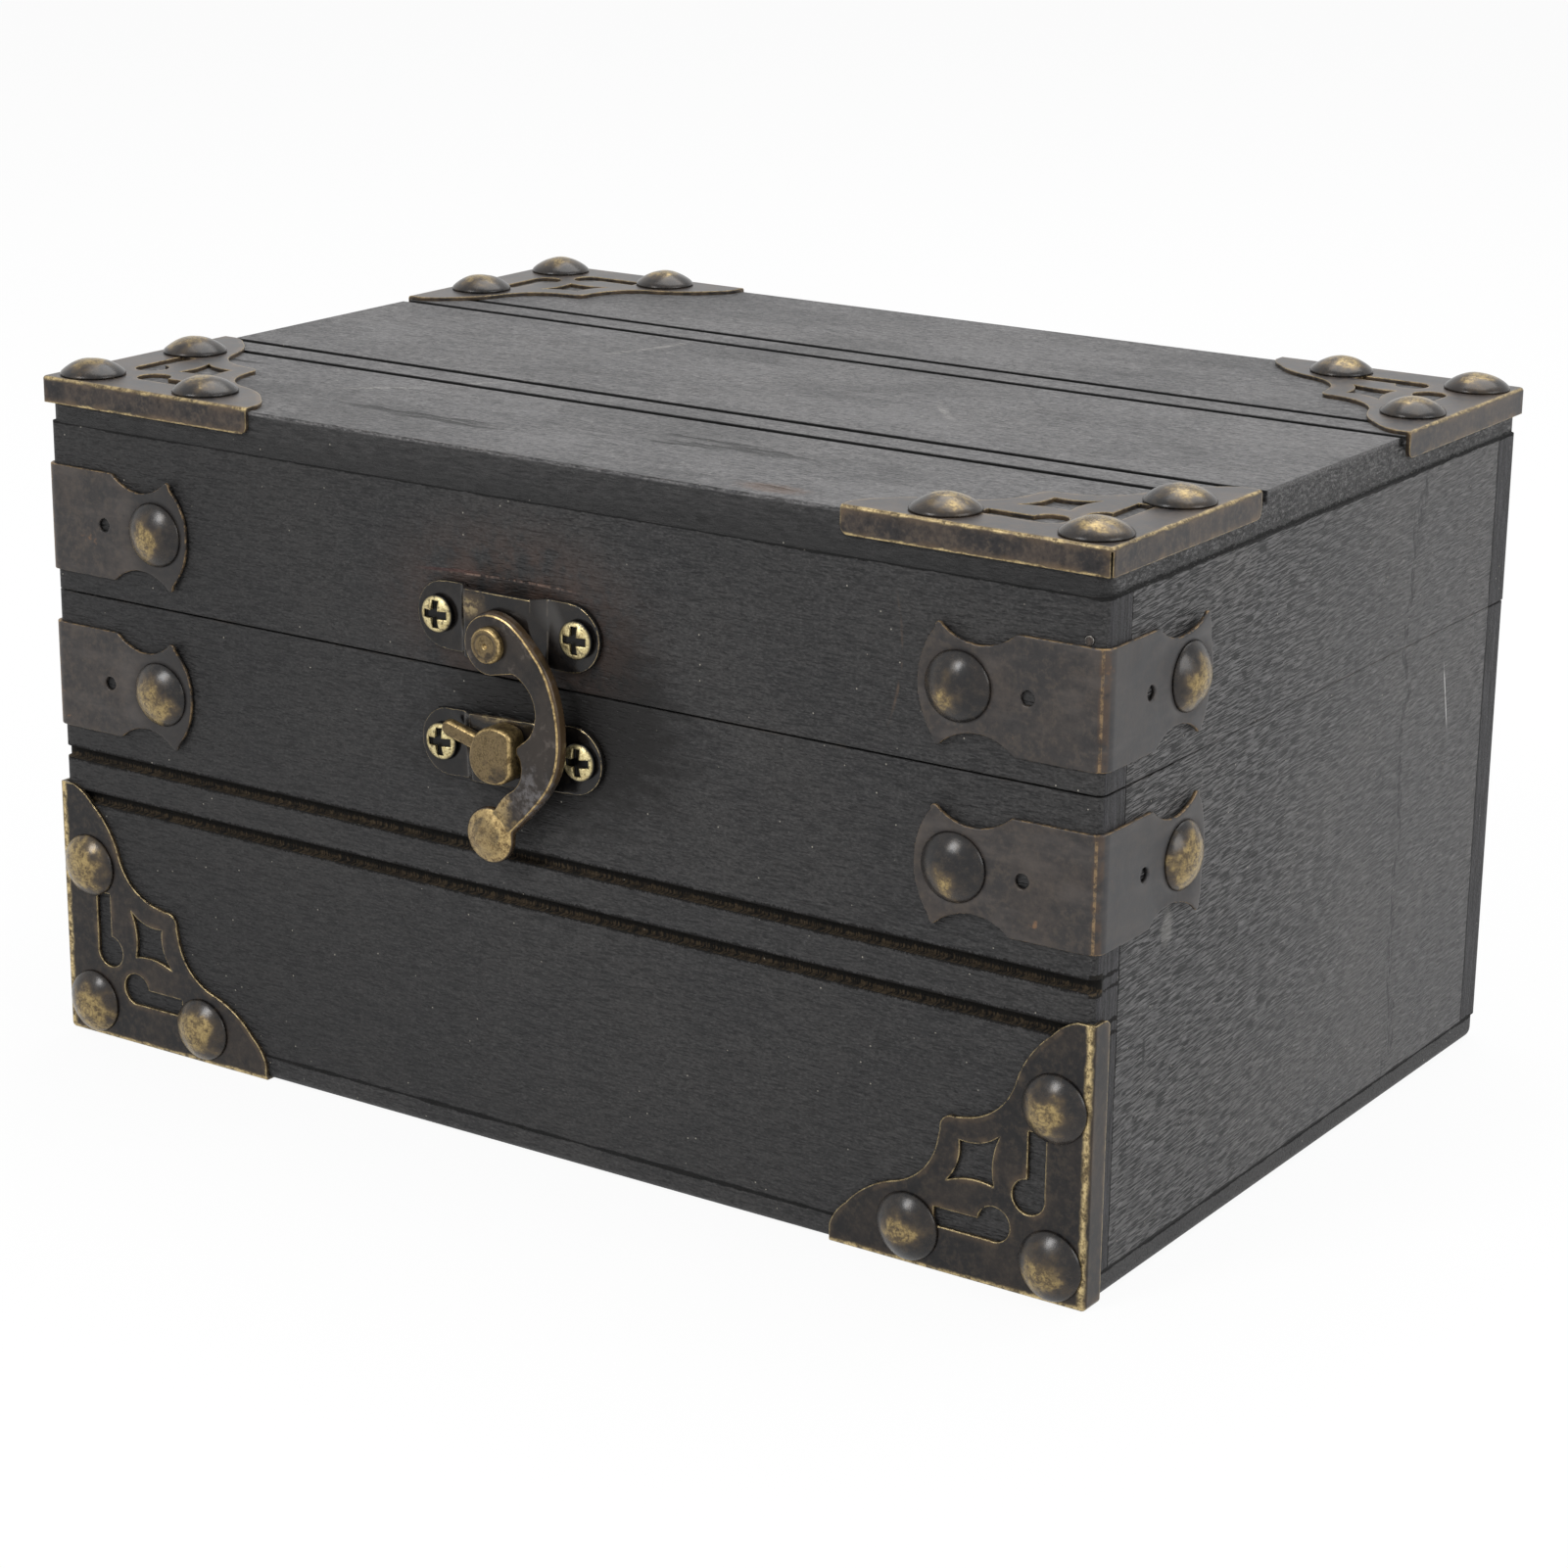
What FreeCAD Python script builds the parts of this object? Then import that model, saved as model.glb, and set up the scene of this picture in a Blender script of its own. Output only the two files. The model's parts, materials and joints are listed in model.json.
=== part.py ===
import FreeCAD, Part
import math
import os
from FreeCAD import Vector, Matrix

# Wooden box with a hinged lid, bronze corner hardware and a swing latch.
# Millimetres. The box stands on z = 0, the front faces -y, and x = 0 and
# y = 0 are the middle of the body.

# Wooden body
BOX_WIDTH = 180.0
BOX_DEPTH = 124.0
WALL = 6.0
BOTTOM_THICK = 3.8
SPLIT_Z = 70.2
SPLIT_GAP = 0.3
LID_TOP_Z = 96.0
BOARD_THICK = 6.2
LID_BACK_PROUD = 0.3
ARRIS_R = 1.4
BOARD_CORNER_R = 2.5
BOTTOM_CORNER_R = 2.6
BOTTOM_EDGE_R = 1.6

# Saw-cut grooves across the front panel and the lid board
GROOVE_DEPTH = 1.5
FRONT_GROOVE_TALL = 1.85
FRONT_GROOVE_Z = (38.3, 44.9)
LID_GROOVE_WIDE = 1.6
LID_GROOVE_Y = (-28.2, -21.2, 21.6, 28.6)

# Sheet-metal corner bracket, measured from the outside of its flanges
SHEET = 0.6
BRACKET_LEG = 40.0
FLANGE_TALL = 3.9
FLANGE_END_R = 1.2
BRACKET_CORNER_R = 0.8
BRACKET_BEND_R = 0.5
MITRE_SLIT = 0.3
LEG_END_WIDE = 2.6
BRACKET_EDGE = [
    [(38.9, 4.8), (37.4, 6.4)],
    [(34.0, 9.5), (29.6, 11.5)],
    [(25.4, 14.2), (23.1, 19.1)],
    [(22.8, 20.6)],
]
BRACKET_TIP = (22.3, 22.3)
DIAMOND_START = (14.3, 14.3)
DIAMOND = [
    [(18.0, 14.6), (21.8, 13.5)],
    [(19.9, 16.9), (19.8, 19.8)],
    [(16.9, 19.9), (13.5, 21.8)],
    [(14.6, 18.0), (14.3, 14.3)],
]
SLOT_FROM = 6.6
SLOT_TO = 9.35
SLOT_TOP = 23.5
SLOT_BULB = (9.05, 14.2)
SLOT_BULB_R = 2.5
BRACKET_NAILS = [(5.4, 5.4), (5.5, 27.5), (27.5, 5.5)]

# Dome-headed nail
DOME_R = 4.85
DOME_TALL = 2.4
DOME_RIM = 0.3
SHANK_R = 0.65
SHANK_LONG = 5.0
SHANK_POINT = 1.4

# Strap around a front corner: a is the distance from the corner, h from mid-height
STRAP_BEND_R = 2.0
STRAP_HALF = 8.1
STRAP_EDGE = [
    [(13.3, STRAP_HALF)],
    [(18.6, 5.9), (24.0, 7.9)],
    [(24.8, 8.15), (25.0, 7.4)],
]
STRAP_END = 27.8
STRAP_HOLE_A = 11.5
STRAP_HOLE_R = 1.0
STRAP_NAIL_A = 21.7
LID_STRAP_UP = 11.3
BASE_STRAP_UP = -13.0

# Latch plates: strips bent up into a bridge between the screws; heights are above the split
PLATE_LONG = 31.6
PLATE_TALL = 9.9
PLATE_SHEET = 1.0
PLATE_BEND_R = 0.5
PAD_FOOT = 1.7
PAD_FROM = -6.0
PAD_TO = 5.4
UPPER_PLATE_AT = (-3.5, 7.8)
UPPER_PAD_TALL = 2.9
LOWER_PLATE_AT = (-3.1, -10.05)
LOWER_PAD_TALL = 2.2
LOWER_TILT = 2.7

# Cross-head screws of the latch plates
SCREW_SPACING = 24.1
SCREW_HEAD_R = 2.7
SCREW_HEAD_TALL = 1.1
SCREW_HEAD_RIM = 0.4
SCREW_SHANK_R = 1.0
SCREW_SHANK_LONG = 4.8
SCREW_POINT = 1.8
CROSS_LONG = 4.0
CROSS_WIDE = 1.2
CROSS_DEEP = 0.9

# Swing arm and its rivet: x, and height above the middle of the split
PIVOT = (-3.45, 6.05)
EYE_R = 4.5
ARM_BACK = 3.0
ARM_THICK = 1.9
ARM_BEVEL = 0.45
ARM_MIDDLE = (-2.0, -6.35)
ARM_OUTER = [(-0.4, 9.85), (2.8, 7.35), (5.8, 3.75), (7.7, -0.95), (8.35, -6.35), (7.7, -10.75),
             (4.3, -16.05), (-0.2, -20.75)]
ARM_INNER = [
    [(-3.1, -17.75), (0.25, -14.15)],
    [(1.6, -11.75), (1.35, -9.35)],
    [(0.75, -8.45), (1.3, -7.55)],
    [(2.6, -6.55)],
    [(3.7, -0.75), (0.4, 2.35)],
]
BALL_AT = (-4.05, -21.55)
BALL_R = 4.05
BALL_BACK = 2.7
BALL_FRONT = 5.7
BALL_RIM = 0.9
RIVET_HEAD_R = 2.55
RIVET_HEAD_TALL = 1.1
RIVET_ROUND = 0.5
RIVET_SHANK_R = 1.25
RIVET_TAIL_R = 1.6
RIVET_TAIL_TALL = 0.5
RIVET_DIMPLE_R = 0.45
RUNNING_FIT = 0.05
FACE_FIT = 0.1

# Catch: a knob with a short bar, riveted through the lower plate
KNOB_START = (0.35, -11.95)
KNOB = [
    [(0.35, -7.15)],
    [(0.0, -6.25), (-1.1, -5.75)],
    [(-3.3, -5.6), (-5.1, -6.35)],
    [(-6.35, -7.85), (-6.9, -9.95)],
    [(-6.0, -12.85), (-3.6, -13.85)],
    [(-1.0, -13.4), (0.35, -11.95)],
]
KNOB_FRONT = 5.7
KNOB_EDGE_R = 0.6
BAR_TO = (-12.2, -7.75)
BAR_FROM = (-5.6, -9.45)
BAR_R = 1.2
BAR_THICK = 1.5
BAR_EDGE_R = 0.6
CATCH_AT = (-3.2, -9.65)

# Wire nail whose head shows on the front rail
BRAD_FROM_SIDE = 2.6
BRAD_BELOW_BOARD = 5.6
BRAD_R = 0.65
BRAD_LONG = 14.0
BRAD_PROUD = 0.1

# Butt hinges on the outside of the back
HINGE_FROM_SIDE = 38.0
HINGE_LONG = 24.0
HINGE_SEGMENT_GAP = 0.2
LEAF_THICK = 0.8
LEAF_TALL = 10.0
LEAF_CORNER_R = 1.5
WEB_TALL = 1.4
KNUCKLE_R = 1.9
KNUCKLE_WOOD_GAP = 0.3
HINGE_PIN_R = 0.8
PIN_HEAD_R = 1.3
PIN_HEAD_TALL = 0.5
LEAF_RIM_GAP = 0.2
HINGE_SCREW_HEAD_R = 1.6
HINGE_SCREW_HEAD_TALL = 0.6
HINGE_SCREW_HEAD_RIM = 0.2
HINGE_SCREW_SHANK_R = 0.7
HINGE_SCREW_LONG = 4.5
HINGE_SCREW_POINT = 1.4
HINGE_SCREW_X = 7.5
HINGE_SCREW_UP = 6.0

HALF_W = BOX_WIDTH / 2
HALF_D = BOX_DEPTH / 2
LID_RIM_Z = SPLIT_Z + SPLIT_GAP
BOARD_TOP_Z = LID_TOP_Z + BOARD_THICK
SPLIT_MID_Z = SPLIT_Z + SPLIT_GAP / 2
LID_BACK_Y = HALF_D + LID_BACK_PROUD
HINGE_Y = LID_BACK_Y + KNUCKLE_R + KNUCKLE_WOOD_GAP

RIGHT = Vector(1, 0, 0)
LEFT = Vector(-1, 0, 0)
BACK = Vector(0, 1, 0)
FRONT = Vector(0, -1, 0)
UP = Vector(0, 0, 1)
DOWN = Vector(0, 0, -1)

parts = {}


def outline(start, steps):
    """Flat face in the local xy plane: a step of one point is a line, of two an arc, of more a curve."""
    edges = []
    here = Vector(start[0], start[1], 0)
    for step in steps:
        points = [Vector(x, y, 0) for x, y in step]
        if len(points) == 1:
            edges.append(Part.makeLine(here, points[0]))
        elif len(points) == 2:
            edges.append(Part.Arc(here, points[0], points[1]).toShape())
        else:
            curve = Part.BSplineCurve()
            curve.interpolate([here, *points])
            edges.append(curve.toShape())
        here = points[-1]
    return Part.Face(Part.Wire(edges))


def placed(shape, origin, x_dir, y_dir):
    """The shape with its local axes laid along the given ones at the given point."""
    z_dir = x_dir.cross(y_dir)
    turn = Matrix(
        x_dir.x, y_dir.x, z_dir.x, origin[0],
        x_dir.y, y_dir.y, z_dir.y, origin[1],
        x_dir.z, y_dir.z, z_dir.z, origin[2],
        0, 0, 0, 1)
    return shape.transformed(turn, True)


def on_front(shape, x=0.0, up=0.0, off=0.0):
    """A shape drawn facing the viewer, laid on the front face at a height above the split."""
    return placed(shape, (x, -HALF_D - off, SPLIT_MID_Z + up), RIGHT, UP)


def box(x0, x1, y0, y1, z0, z1):
    """A block between the given limits."""
    return Part.makeBox(x1 - x0, y1 - y0, z1 - z0, Vector(x0, y0, z0))


def rounded(shape, radius, chosen):
    """The shape with a fillet on each edge for which chosen(edge) is true."""
    return shape.makeFillet(radius, [edge for edge in shape.Edges if chosen(edge)])


def upright_at(x, y):
    """True for a vertical straight edge that stands at the given plan position."""
    def test(edge):
        low, high = edge.BoundBox.ZMin, edge.BoundBox.ZMax
        middle = edge.CenterOfMass
        return high - low > 1.0 and abs(middle.x - x) < 0.01 and abs(middle.y - y) < 0.01
    return test


def spun(start, steps):
    """Solid of revolution about the local z axis from steps through (radius, height) points."""
    face = placed(outline(start, steps), (0, 0, 0), RIGHT, UP)
    return face.revolve(Vector(0, 0, 0), UP, 360)


def mirrored_x(shape):
    """The mirror image of a shape on the other side of the box."""
    return shape.mirror(Vector(0, 0, 0), Vector(1, 0, 0))


def cut_all(shape, tools):
    """The shape with every tool taken out of it."""
    for tool in tools:
        shape = shape.cut(tool)
    return shape


def keep(node, *solids):
    """Add solids to a node that is exported under its own name."""
    parts.setdefault(node, []).extend(solids)


# Fasteners: each head sits on local z = 0
def headed_pin(head_r, head_tall, rim, shank_r, shank_long, point):
    """Pointed shank under a flat-seated head with a spherical crown."""
    cap = head_tall - rim
    sphere_r = (head_r ** 2 + cap ** 2) / (2 * cap)
    middle = math.asin(head_r / sphere_r) / 2
    arc_mid = (sphere_r * math.sin(middle), head_tall - sphere_r * (1 - math.cos(middle)))
    tip = (0, -shank_long)
    return spun(tip, [[(shank_r, -shank_long + point)], [(shank_r, 0)], [(head_r, 0)],
                      [(head_r, rim)], [arc_mid, (0, head_tall)], [tip]])


def dome_nail():
    """Nail with a broad low dome for a head."""
    return headed_pin(DOME_R, DOME_TALL, DOME_RIM, SHANK_R, SHANK_LONG, SHANK_POINT)


def latch_screw():
    """Screw with a low domed head and a cross recess."""
    screw = headed_pin(SCREW_HEAD_R, SCREW_HEAD_TALL, SCREW_HEAD_RIM, SCREW_SHANK_R,
                       SCREW_SHANK_LONG, SCREW_POINT)
    floor = SCREW_HEAD_TALL - CROSS_DEEP
    for long_x, long_y in ((CROSS_LONG, CROSS_WIDE), (CROSS_WIDE, CROSS_LONG)):
        screw = screw.cut(box(-long_x / 2, long_x / 2, -long_y / 2, long_y / 2,
                              floor, SCREW_HEAD_TALL + 1))
    return screw


def hinge_screw():
    """Small round-headed pin that holds a hinge leaf."""
    return headed_pin(HINGE_SCREW_HEAD_R, HINGE_SCREW_HEAD_TALL, HINGE_SCREW_HEAD_RIM,
                      HINGE_SCREW_SHANK_R, HINGE_SCREW_LONG, HINGE_SCREW_POINT)


def mirrored_back(start, steps):
    """Steps that run back along the mirror image of a path across the diagonal."""
    ends = [start] + [step[-1] for step in steps]
    back = []
    for i in reversed(range(len(steps))):
        points = [*steps[i][:-1], ends[i]]
        back.append([(y, x) for x, y in points])
    return back


def hook_slot():
    """Slot from under the upper nail down to a round bulb."""
    lane = box(SLOT_FROM, SLOT_TO, SLOT_BULB[1], SLOT_TOP, -SHEET, 2 * SHEET)
    bulb = Part.makeCylinder(SLOT_BULB_R, 3 * SHEET, Vector(SLOT_BULB[0], SLOT_BULB[1], -SHEET))
    return lane.fuse(bulb)


def corner_bracket():
    """Pierced corner plate with a flange along each outer edge; the wood face is z = 0."""
    leg_end = (BRACKET_LEG, LEG_END_WIDE)
    tip_from = BRACKET_EDGE[-1][-1]
    corner = BRACKET_CORNER_R * (1 - math.sqrt(0.5))
    steps = [[(BRACKET_LEG, 0)], [leg_end], *BRACKET_EDGE,
             [BRACKET_TIP, (tip_from[1], tip_from[0])],
             *mirrored_back(leg_end, BRACKET_EDGE),
             [(0, BRACKET_LEG)], [(0, BRACKET_CORNER_R)],
             [(corner, corner), (BRACKET_CORNER_R, 0)]]
    plate = outline((BRACKET_CORNER_R, 0), steps).extrude(Vector(0, 0, SHEET))

    low = SHEET - FLANGE_TALL
    turn = FLANGE_END_R * (1 - math.sqrt(0.5))
    side = outline((0, low), [
        [(BRACKET_LEG - FLANGE_END_R, low)],
        [(BRACKET_LEG - turn, low + turn), (BRACKET_LEG, low + FLANGE_END_R)],
        [(BRACKET_LEG, SHEET)], [(0, SHEET)], [(0, low)]])
    side = side.extrude(Vector(0, 0, SHEET))
    along_x = placed(side, (0, SHEET, 0), RIGHT, UP)
    along_y = placed(side, (0, 0, 0), BACK, UP)
    corner_block = box(0, BRACKET_LEG, 0, BRACKET_LEG, low, SHEET)
    corner_block = rounded(corner_block, BRACKET_CORNER_R, upright_at(0, 0))
    flanges = along_x.fuse(along_y).common(corner_block)
    bracket = plate.fuse(flanges).removeSplitter()

    def outer_bend(edge):
        at_top = edge.BoundBox.ZMin > SHEET - 0.01
        near_x = edge.BoundBox.XMax < BRACKET_CORNER_R + 0.01
        near_y = edge.BoundBox.YMax < BRACKET_CORNER_R + 0.01
        return at_top and (near_x or near_y)

    bracket = rounded(bracket, BRACKET_BEND_R, outer_bend)
    slit = box(-1, 3, -MITRE_SLIT / 2, MITRE_SLIT / 2, low - 1, 0)
    slit.rotate(Vector(0, 0, 0), UP, 45)
    slot = hook_slot()
    slot_across = placed(slot, (0, 0, SHEET), BACK, RIGHT)
    diamond = outline(DIAMOND_START, DIAMOND).extrude(Vector(0, 0, SHEET))
    holes = [Part.makeCylinder(SHANK_R, SHEET, Vector(x, y, 0)) for x, y in BRACKET_NAILS]
    return cut_all(bracket, [slit, slot, slot_across, diamond, *holes])


def bracket_nails():
    """The three nails of one bracket in the bracket's own axes."""
    nail = dome_nail()
    return [placed(nail, (x, y, SHEET), RIGHT, BACK) for x, y in BRACKET_NAILS]


def strap_leg():
    """One leg of a corner strap beyond the bend, drawn with a along x and h along y."""
    lower = []
    ends = [(STRAP_BEND_R, STRAP_HALF)] + [step[-1] for step in STRAP_EDGE]
    for i in reversed(range(len(STRAP_EDGE))):
        points = [*STRAP_EDGE[i][:-1], ends[i]]
        lower.append([(x, -y) for x, y in points])
    last = STRAP_EDGE[-1][-1]
    steps = [*STRAP_EDGE, [(STRAP_END, 0), (last[0], -last[1])], *lower,
             [(STRAP_BEND_R, STRAP_HALF)]]
    leg = outline((STRAP_BEND_R, STRAP_HALF), steps).extrude(Vector(0, 0, SHEET))
    hole = Part.makeCylinder(STRAP_HOLE_R, SHEET, Vector(STRAP_HOLE_A, 0, 0))
    nail_hole = Part.makeCylinder(SHANK_R, SHEET, Vector(STRAP_NAIL_A, 0, 0))
    return leg.cut(hole).cut(nail_hole)


def right_strap(mid_z):
    """Strap around the front right corner at the given mid-height."""
    leg = strap_leg()
    corner = (HALF_W + SHEET, -HALF_D - SHEET)
    front = placed(leg, (corner[0], -HALF_D, mid_z), LEFT, DOWN)
    side = placed(leg, (HALF_W, corner[1], mid_z), BACK, UP)
    centre = Vector(corner[0] - STRAP_BEND_R, corner[1] + STRAP_BEND_R, mid_z - STRAP_HALF)
    tall = 2 * STRAP_HALF
    bend = Part.makeCylinder(STRAP_BEND_R, tall, centre, UP, 90)
    bend = bend.cut(Part.makeCylinder(STRAP_BEND_R - SHEET, tall, centre, UP, 90))
    bend.rotate(centre, UP, -90)
    return front.fuse(side).fuse(bend).removeSplitter()


def right_strap_nails(mid_z):
    """The two nails of the strap around the front right corner."""
    nail = dome_nail()
    front = placed(nail, (HALF_W + SHEET - STRAP_NAIL_A, -HALF_D - SHEET, mid_z), RIGHT, UP)
    side = placed(nail, (HALF_W + SHEET, -HALF_D - SHEET + STRAP_NAIL_A, mid_z), BACK, UP)
    return [front, side]


# Hardware of the base and the lid
def frame_at(origin, x_dir, y_dir):
    """The bracket and its nails with the bracket's outer corner at the given point."""
    bracket = placed(BRACKET, origin, x_dir, y_dir)
    nails = [placed(nail, origin, x_dir, y_dir) for nail in bracket_nails()]
    return bracket, nails


BRACKET = corner_bracket()
OUT_X = HALF_W + SHEET
OUT_FRONT = -HALF_D - SHEET
OUT_BACK = LID_BACK_Y + SHEET
base_corners = {
    "base_left_corner_bracket": ((-OUT_X, -HALF_D, 0), RIGHT, UP),
    "base_right_corner_bracket": ((OUT_X, -HALF_D, 0), UP, LEFT),
}
lid_corners = {
    "lid_front_left_bracket": ((-OUT_X, OUT_FRONT, BOARD_TOP_Z), RIGHT, BACK),
    "lid_front_right_bracket": ((OUT_X, OUT_FRONT, BOARD_TOP_Z), BACK, LEFT),
    "lid_back_right_bracket": ((OUT_X, OUT_BACK, BOARD_TOP_Z), LEFT, FRONT),
    "lid_back_left_bracket": ((-OUT_X, OUT_BACK, BOARD_TOP_Z), FRONT, RIGHT),
}
for corners, nail_node in ((base_corners, "base_bracket_nails"), (lid_corners, "lid_bracket_nails")):
    for node, (origin, x_dir, y_dir) in corners.items():
        bracket, nails = frame_at(origin, x_dir, y_dir)
        keep(node, bracket)
        keep(nail_node, *nails)

for side_name, turn in (("right", lambda shape: shape), ("left", mirrored_x)):
    for body, mid_z in (("lid", SPLIT_MID_Z + LID_STRAP_UP), ("base", SPLIT_MID_Z + BASE_STRAP_UP)):
        keep(body + "_" + side_name + "_corner_strap", turn(right_strap(mid_z)))
        keep(body + "_strap_nails", *[turn(nail) for nail in right_strap_nails(mid_z)])


# Latch plates, their screws, the rivet, the catch and the arm
def capsule(x0, y0, x1, y1, radius, thick):
    """Flat bar with round ends between two points."""
    along = Vector(x1 - x0, y1 - y0, 0)
    long = along.Length
    steps = [[(long, -radius)], [(long + radius, 0), (long, radius)],
             [(0, radius)], [(-radius, 0), (0, -radius)]]
    bar = outline((0, -radius), steps).extrude(Vector(0, 0, thick))
    along.normalize()
    return placed(bar, (x0, y0, 0), along, UP.cross(along))


def latch_plate(pad_tall, rivet_at):
    """Strip about its own middle that rises over the pad, with screw holes and a rivet hole."""
    end = PLATE_LONG / 2
    rise = pad_tall - PLATE_SHEET
    foot_from = PAD_FROM - PAD_FOOT
    foot_to = PAD_TO + PAD_FOOT
    strip = outline((-end, 0), [
        [(foot_from, 0)], [(PAD_FROM, rise)], [(PAD_TO, rise)], [(foot_to, 0)], [(end, 0)],
        [(end, PLATE_SHEET)], [(foot_to, PLATE_SHEET)], [(PAD_TO, pad_tall)],
        [(PAD_FROM, pad_tall)], [(foot_from, PLATE_SHEET)], [(-end, PLATE_SHEET)], [(-end, 0)]])
    strip = strip.extrude(Vector(0, 0, PLATE_TALL))
    strip = placed(strip, (0, PLATE_TALL / 2, 0), RIGHT, UP)

    def bend(edge):
        middle = edge.CenterOfMass
        across = edge.BoundBox.YLength > PLATE_TALL - 0.01
        return across and foot_from - 0.01 < middle.x < foot_to + 0.01

    strip = rounded(strip, PLATE_BEND_R, bend)
    reach = end - PLATE_TALL / 2
    plate = strip.common(capsule(-reach, 0, reach, 0, PLATE_TALL / 2, pad_tall))
    for x in (-SCREW_SPACING / 2, SCREW_SPACING / 2):
        plate = plate.cut(Part.makeCylinder(SCREW_SHANK_R, PLATE_SHEET, Vector(x, 0, 0)))
    hole = Part.makeCylinder(RIVET_SHANK_R, pad_tall, Vector(rivet_at[0], rivet_at[1], 0))
    return plate.cut(hole)


def plate_screws():
    """Two screws about the middle of a latch plate."""
    screw = latch_screw()
    return [placed(screw, (x, 0, PLATE_SHEET), RIGHT, BACK)
            for x in (-SCREW_SPACING / 2, SCREW_SPACING / 2)]


def tilted(shape, degrees):
    """The shape turned about local z."""
    turned_shape = shape.copy()
    turned_shape.rotate(Vector(0, 0, 0), UP, degrees)
    return turned_shape


def riveted_tail(pad_tall):
    """Shank through the pad with its tail spread in the space behind it."""
    inside = pad_tall - PLATE_SHEET
    tail = Part.makeCylinder(RIVET_TAIL_R, RIVET_TAIL_TALL, Vector(0, 0, inside - RIVET_TAIL_TALL))
    shank = Part.makeCylinder(RIVET_SHANK_R, PLATE_SHEET, Vector(0, 0, inside))
    return tail.fuse(shank)


upper_rivet = (PIVOT[0] - UPPER_PLATE_AT[0], PIVOT[1] - UPPER_PLATE_AT[1])
upper_screws = [on_front(screw, *UPPER_PLATE_AT) for screw in plate_screws()]
keep("latch_upper_plate", on_front(latch_plate(UPPER_PAD_TALL, upper_rivet), *UPPER_PLATE_AT))
keep("latch_upper_screws", *upper_screws)

tilt = math.radians(LOWER_TILT)
catch_dx = CATCH_AT[0] - LOWER_PLATE_AT[0]
catch_dz = CATCH_AT[1] - LOWER_PLATE_AT[1]
lower_rivet = (catch_dx * math.cos(tilt) + catch_dz * math.sin(tilt),
               catch_dz * math.cos(tilt) - catch_dx * math.sin(tilt))
lower_plate = tilted(latch_plate(LOWER_PAD_TALL, lower_rivet), LOWER_TILT)
lower_screws = [on_front(tilted(screw, LOWER_TILT), *LOWER_PLATE_AT) for screw in plate_screws()]
keep("latch_lower_plate", on_front(lower_plate, *LOWER_PLATE_AT))
keep("latch_lower_screws", *lower_screws)

knob = outline(KNOB_START, KNOB).extrude(Vector(0, 0, KNOB_FRONT - LOWER_PAD_TALL))
knob = rounded(knob, KNOB_EDGE_R,
               lambda edge: edge.BoundBox.ZMin > KNOB_FRONT - LOWER_PAD_TALL - 0.01)
bar = capsule(BAR_FROM[0], BAR_FROM[1], BAR_TO[0], BAR_TO[1], BAR_R, BAR_THICK)
bar = rounded(bar, BAR_EDGE_R, lambda edge: edge.BoundBox.ZMin > BAR_THICK - 0.01)
catch = on_front(knob.fuse(bar), off=LOWER_PAD_TALL)
catch = catch.fuse(on_front(riveted_tail(LOWER_PAD_TALL), CATCH_AT[0], CATCH_AT[1]))
keep("latch_catch", catch.removeSplitter())

arm_front = ARM_BACK + ARM_THICK
rivet_seat = arm_front + FACE_FIT
crown = rivet_seat + RIVET_HEAD_TALL
round_in = RIVET_ROUND * (1 - math.sqrt(0.5))
head = spun((0, rivet_seat), [
    [(RIVET_HEAD_R, rivet_seat)], [(RIVET_HEAD_R, crown - RIVET_ROUND)],
    [(RIVET_HEAD_R - round_in, crown - round_in), (RIVET_HEAD_R - RIVET_ROUND, crown)],
    [(RIVET_DIMPLE_R, crown)], [(0, crown - RIVET_DIMPLE_R)], [(0, rivet_seat)]])
stem_from = UPPER_PAD_TALL
stem = Part.makeCylinder(RIVET_SHANK_R, rivet_seat - stem_from, Vector(0, 0, stem_from))
rivet = head.fuse(stem).fuse(riveted_tail(UPPER_PAD_TALL)).removeSplitter()
keep("latch_rivet", on_front(rivet, *PIVOT))


def arm_outline(inset):
    """Outline of the arm with its outer edge drawn in by the given amount."""
    def moved(point):
        away_x, away_z = point[0] - ARM_MIDDLE[0], point[1] - ARM_MIDDLE[1]
        share = inset / math.hypot(away_x, away_z)
        return (point[0] - away_x * share, point[1] - away_z * share)

    eye_top = moved((PIVOT[0], PIVOT[1] + EYE_R))
    eye_low = (PIVOT[0], PIVOT[1] - EYE_R)
    return outline(eye_top, [
        [moved(point) for point in ARM_OUTER], [BALL_AT], *ARM_INNER,
        [eye_low], [(PIVOT[0] - EYE_R, PIVOT[1]), eye_top]])


blade = arm_outline(0).extrude(Vector(0, 0, ARM_THICK - ARM_BEVEL))
bevel_from = arm_outline(0).translated(Vector(0, 0, ARM_THICK - ARM_BEVEL))
bevel_to = arm_outline(ARM_BEVEL).translated(Vector(0, 0, ARM_THICK))
blade = blade.fuse(Part.makeLoft([bevel_from.OuterWire, bevel_to.OuterWire], True, True))
blade = blade.cut(Part.makeCylinder(RIVET_SHANK_R + RUNNING_FIT, ARM_THICK,
                                    Vector(PIVOT[0], PIVOT[1], 0)))
ball_mid = (BALL_FRONT + BALL_BACK) / 2
rim_low = ball_mid - BALL_RIM / 2
rim_high = ball_mid + BALL_RIM / 2
crown_r = ((BALL_FRONT - rim_high) ** 2 + BALL_R ** 2) / (2 * (BALL_FRONT - rim_high))
half_turn = math.asin(BALL_R / crown_r) / 2
bulge = (crown_r * math.sin(half_turn), crown_r * (1 - math.cos(half_turn)))
ball = spun((0, BALL_BACK), [
    [(bulge[0], BALL_BACK + bulge[1]), (BALL_R, rim_low)], [(BALL_R, rim_high)],
    [(bulge[0], BALL_FRONT - bulge[1]), (0, BALL_FRONT)], [(0, BALL_BACK)]])
arm = on_front(blade, off=ARM_BACK).fuse(on_front(ball, *BALL_AT))
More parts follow.
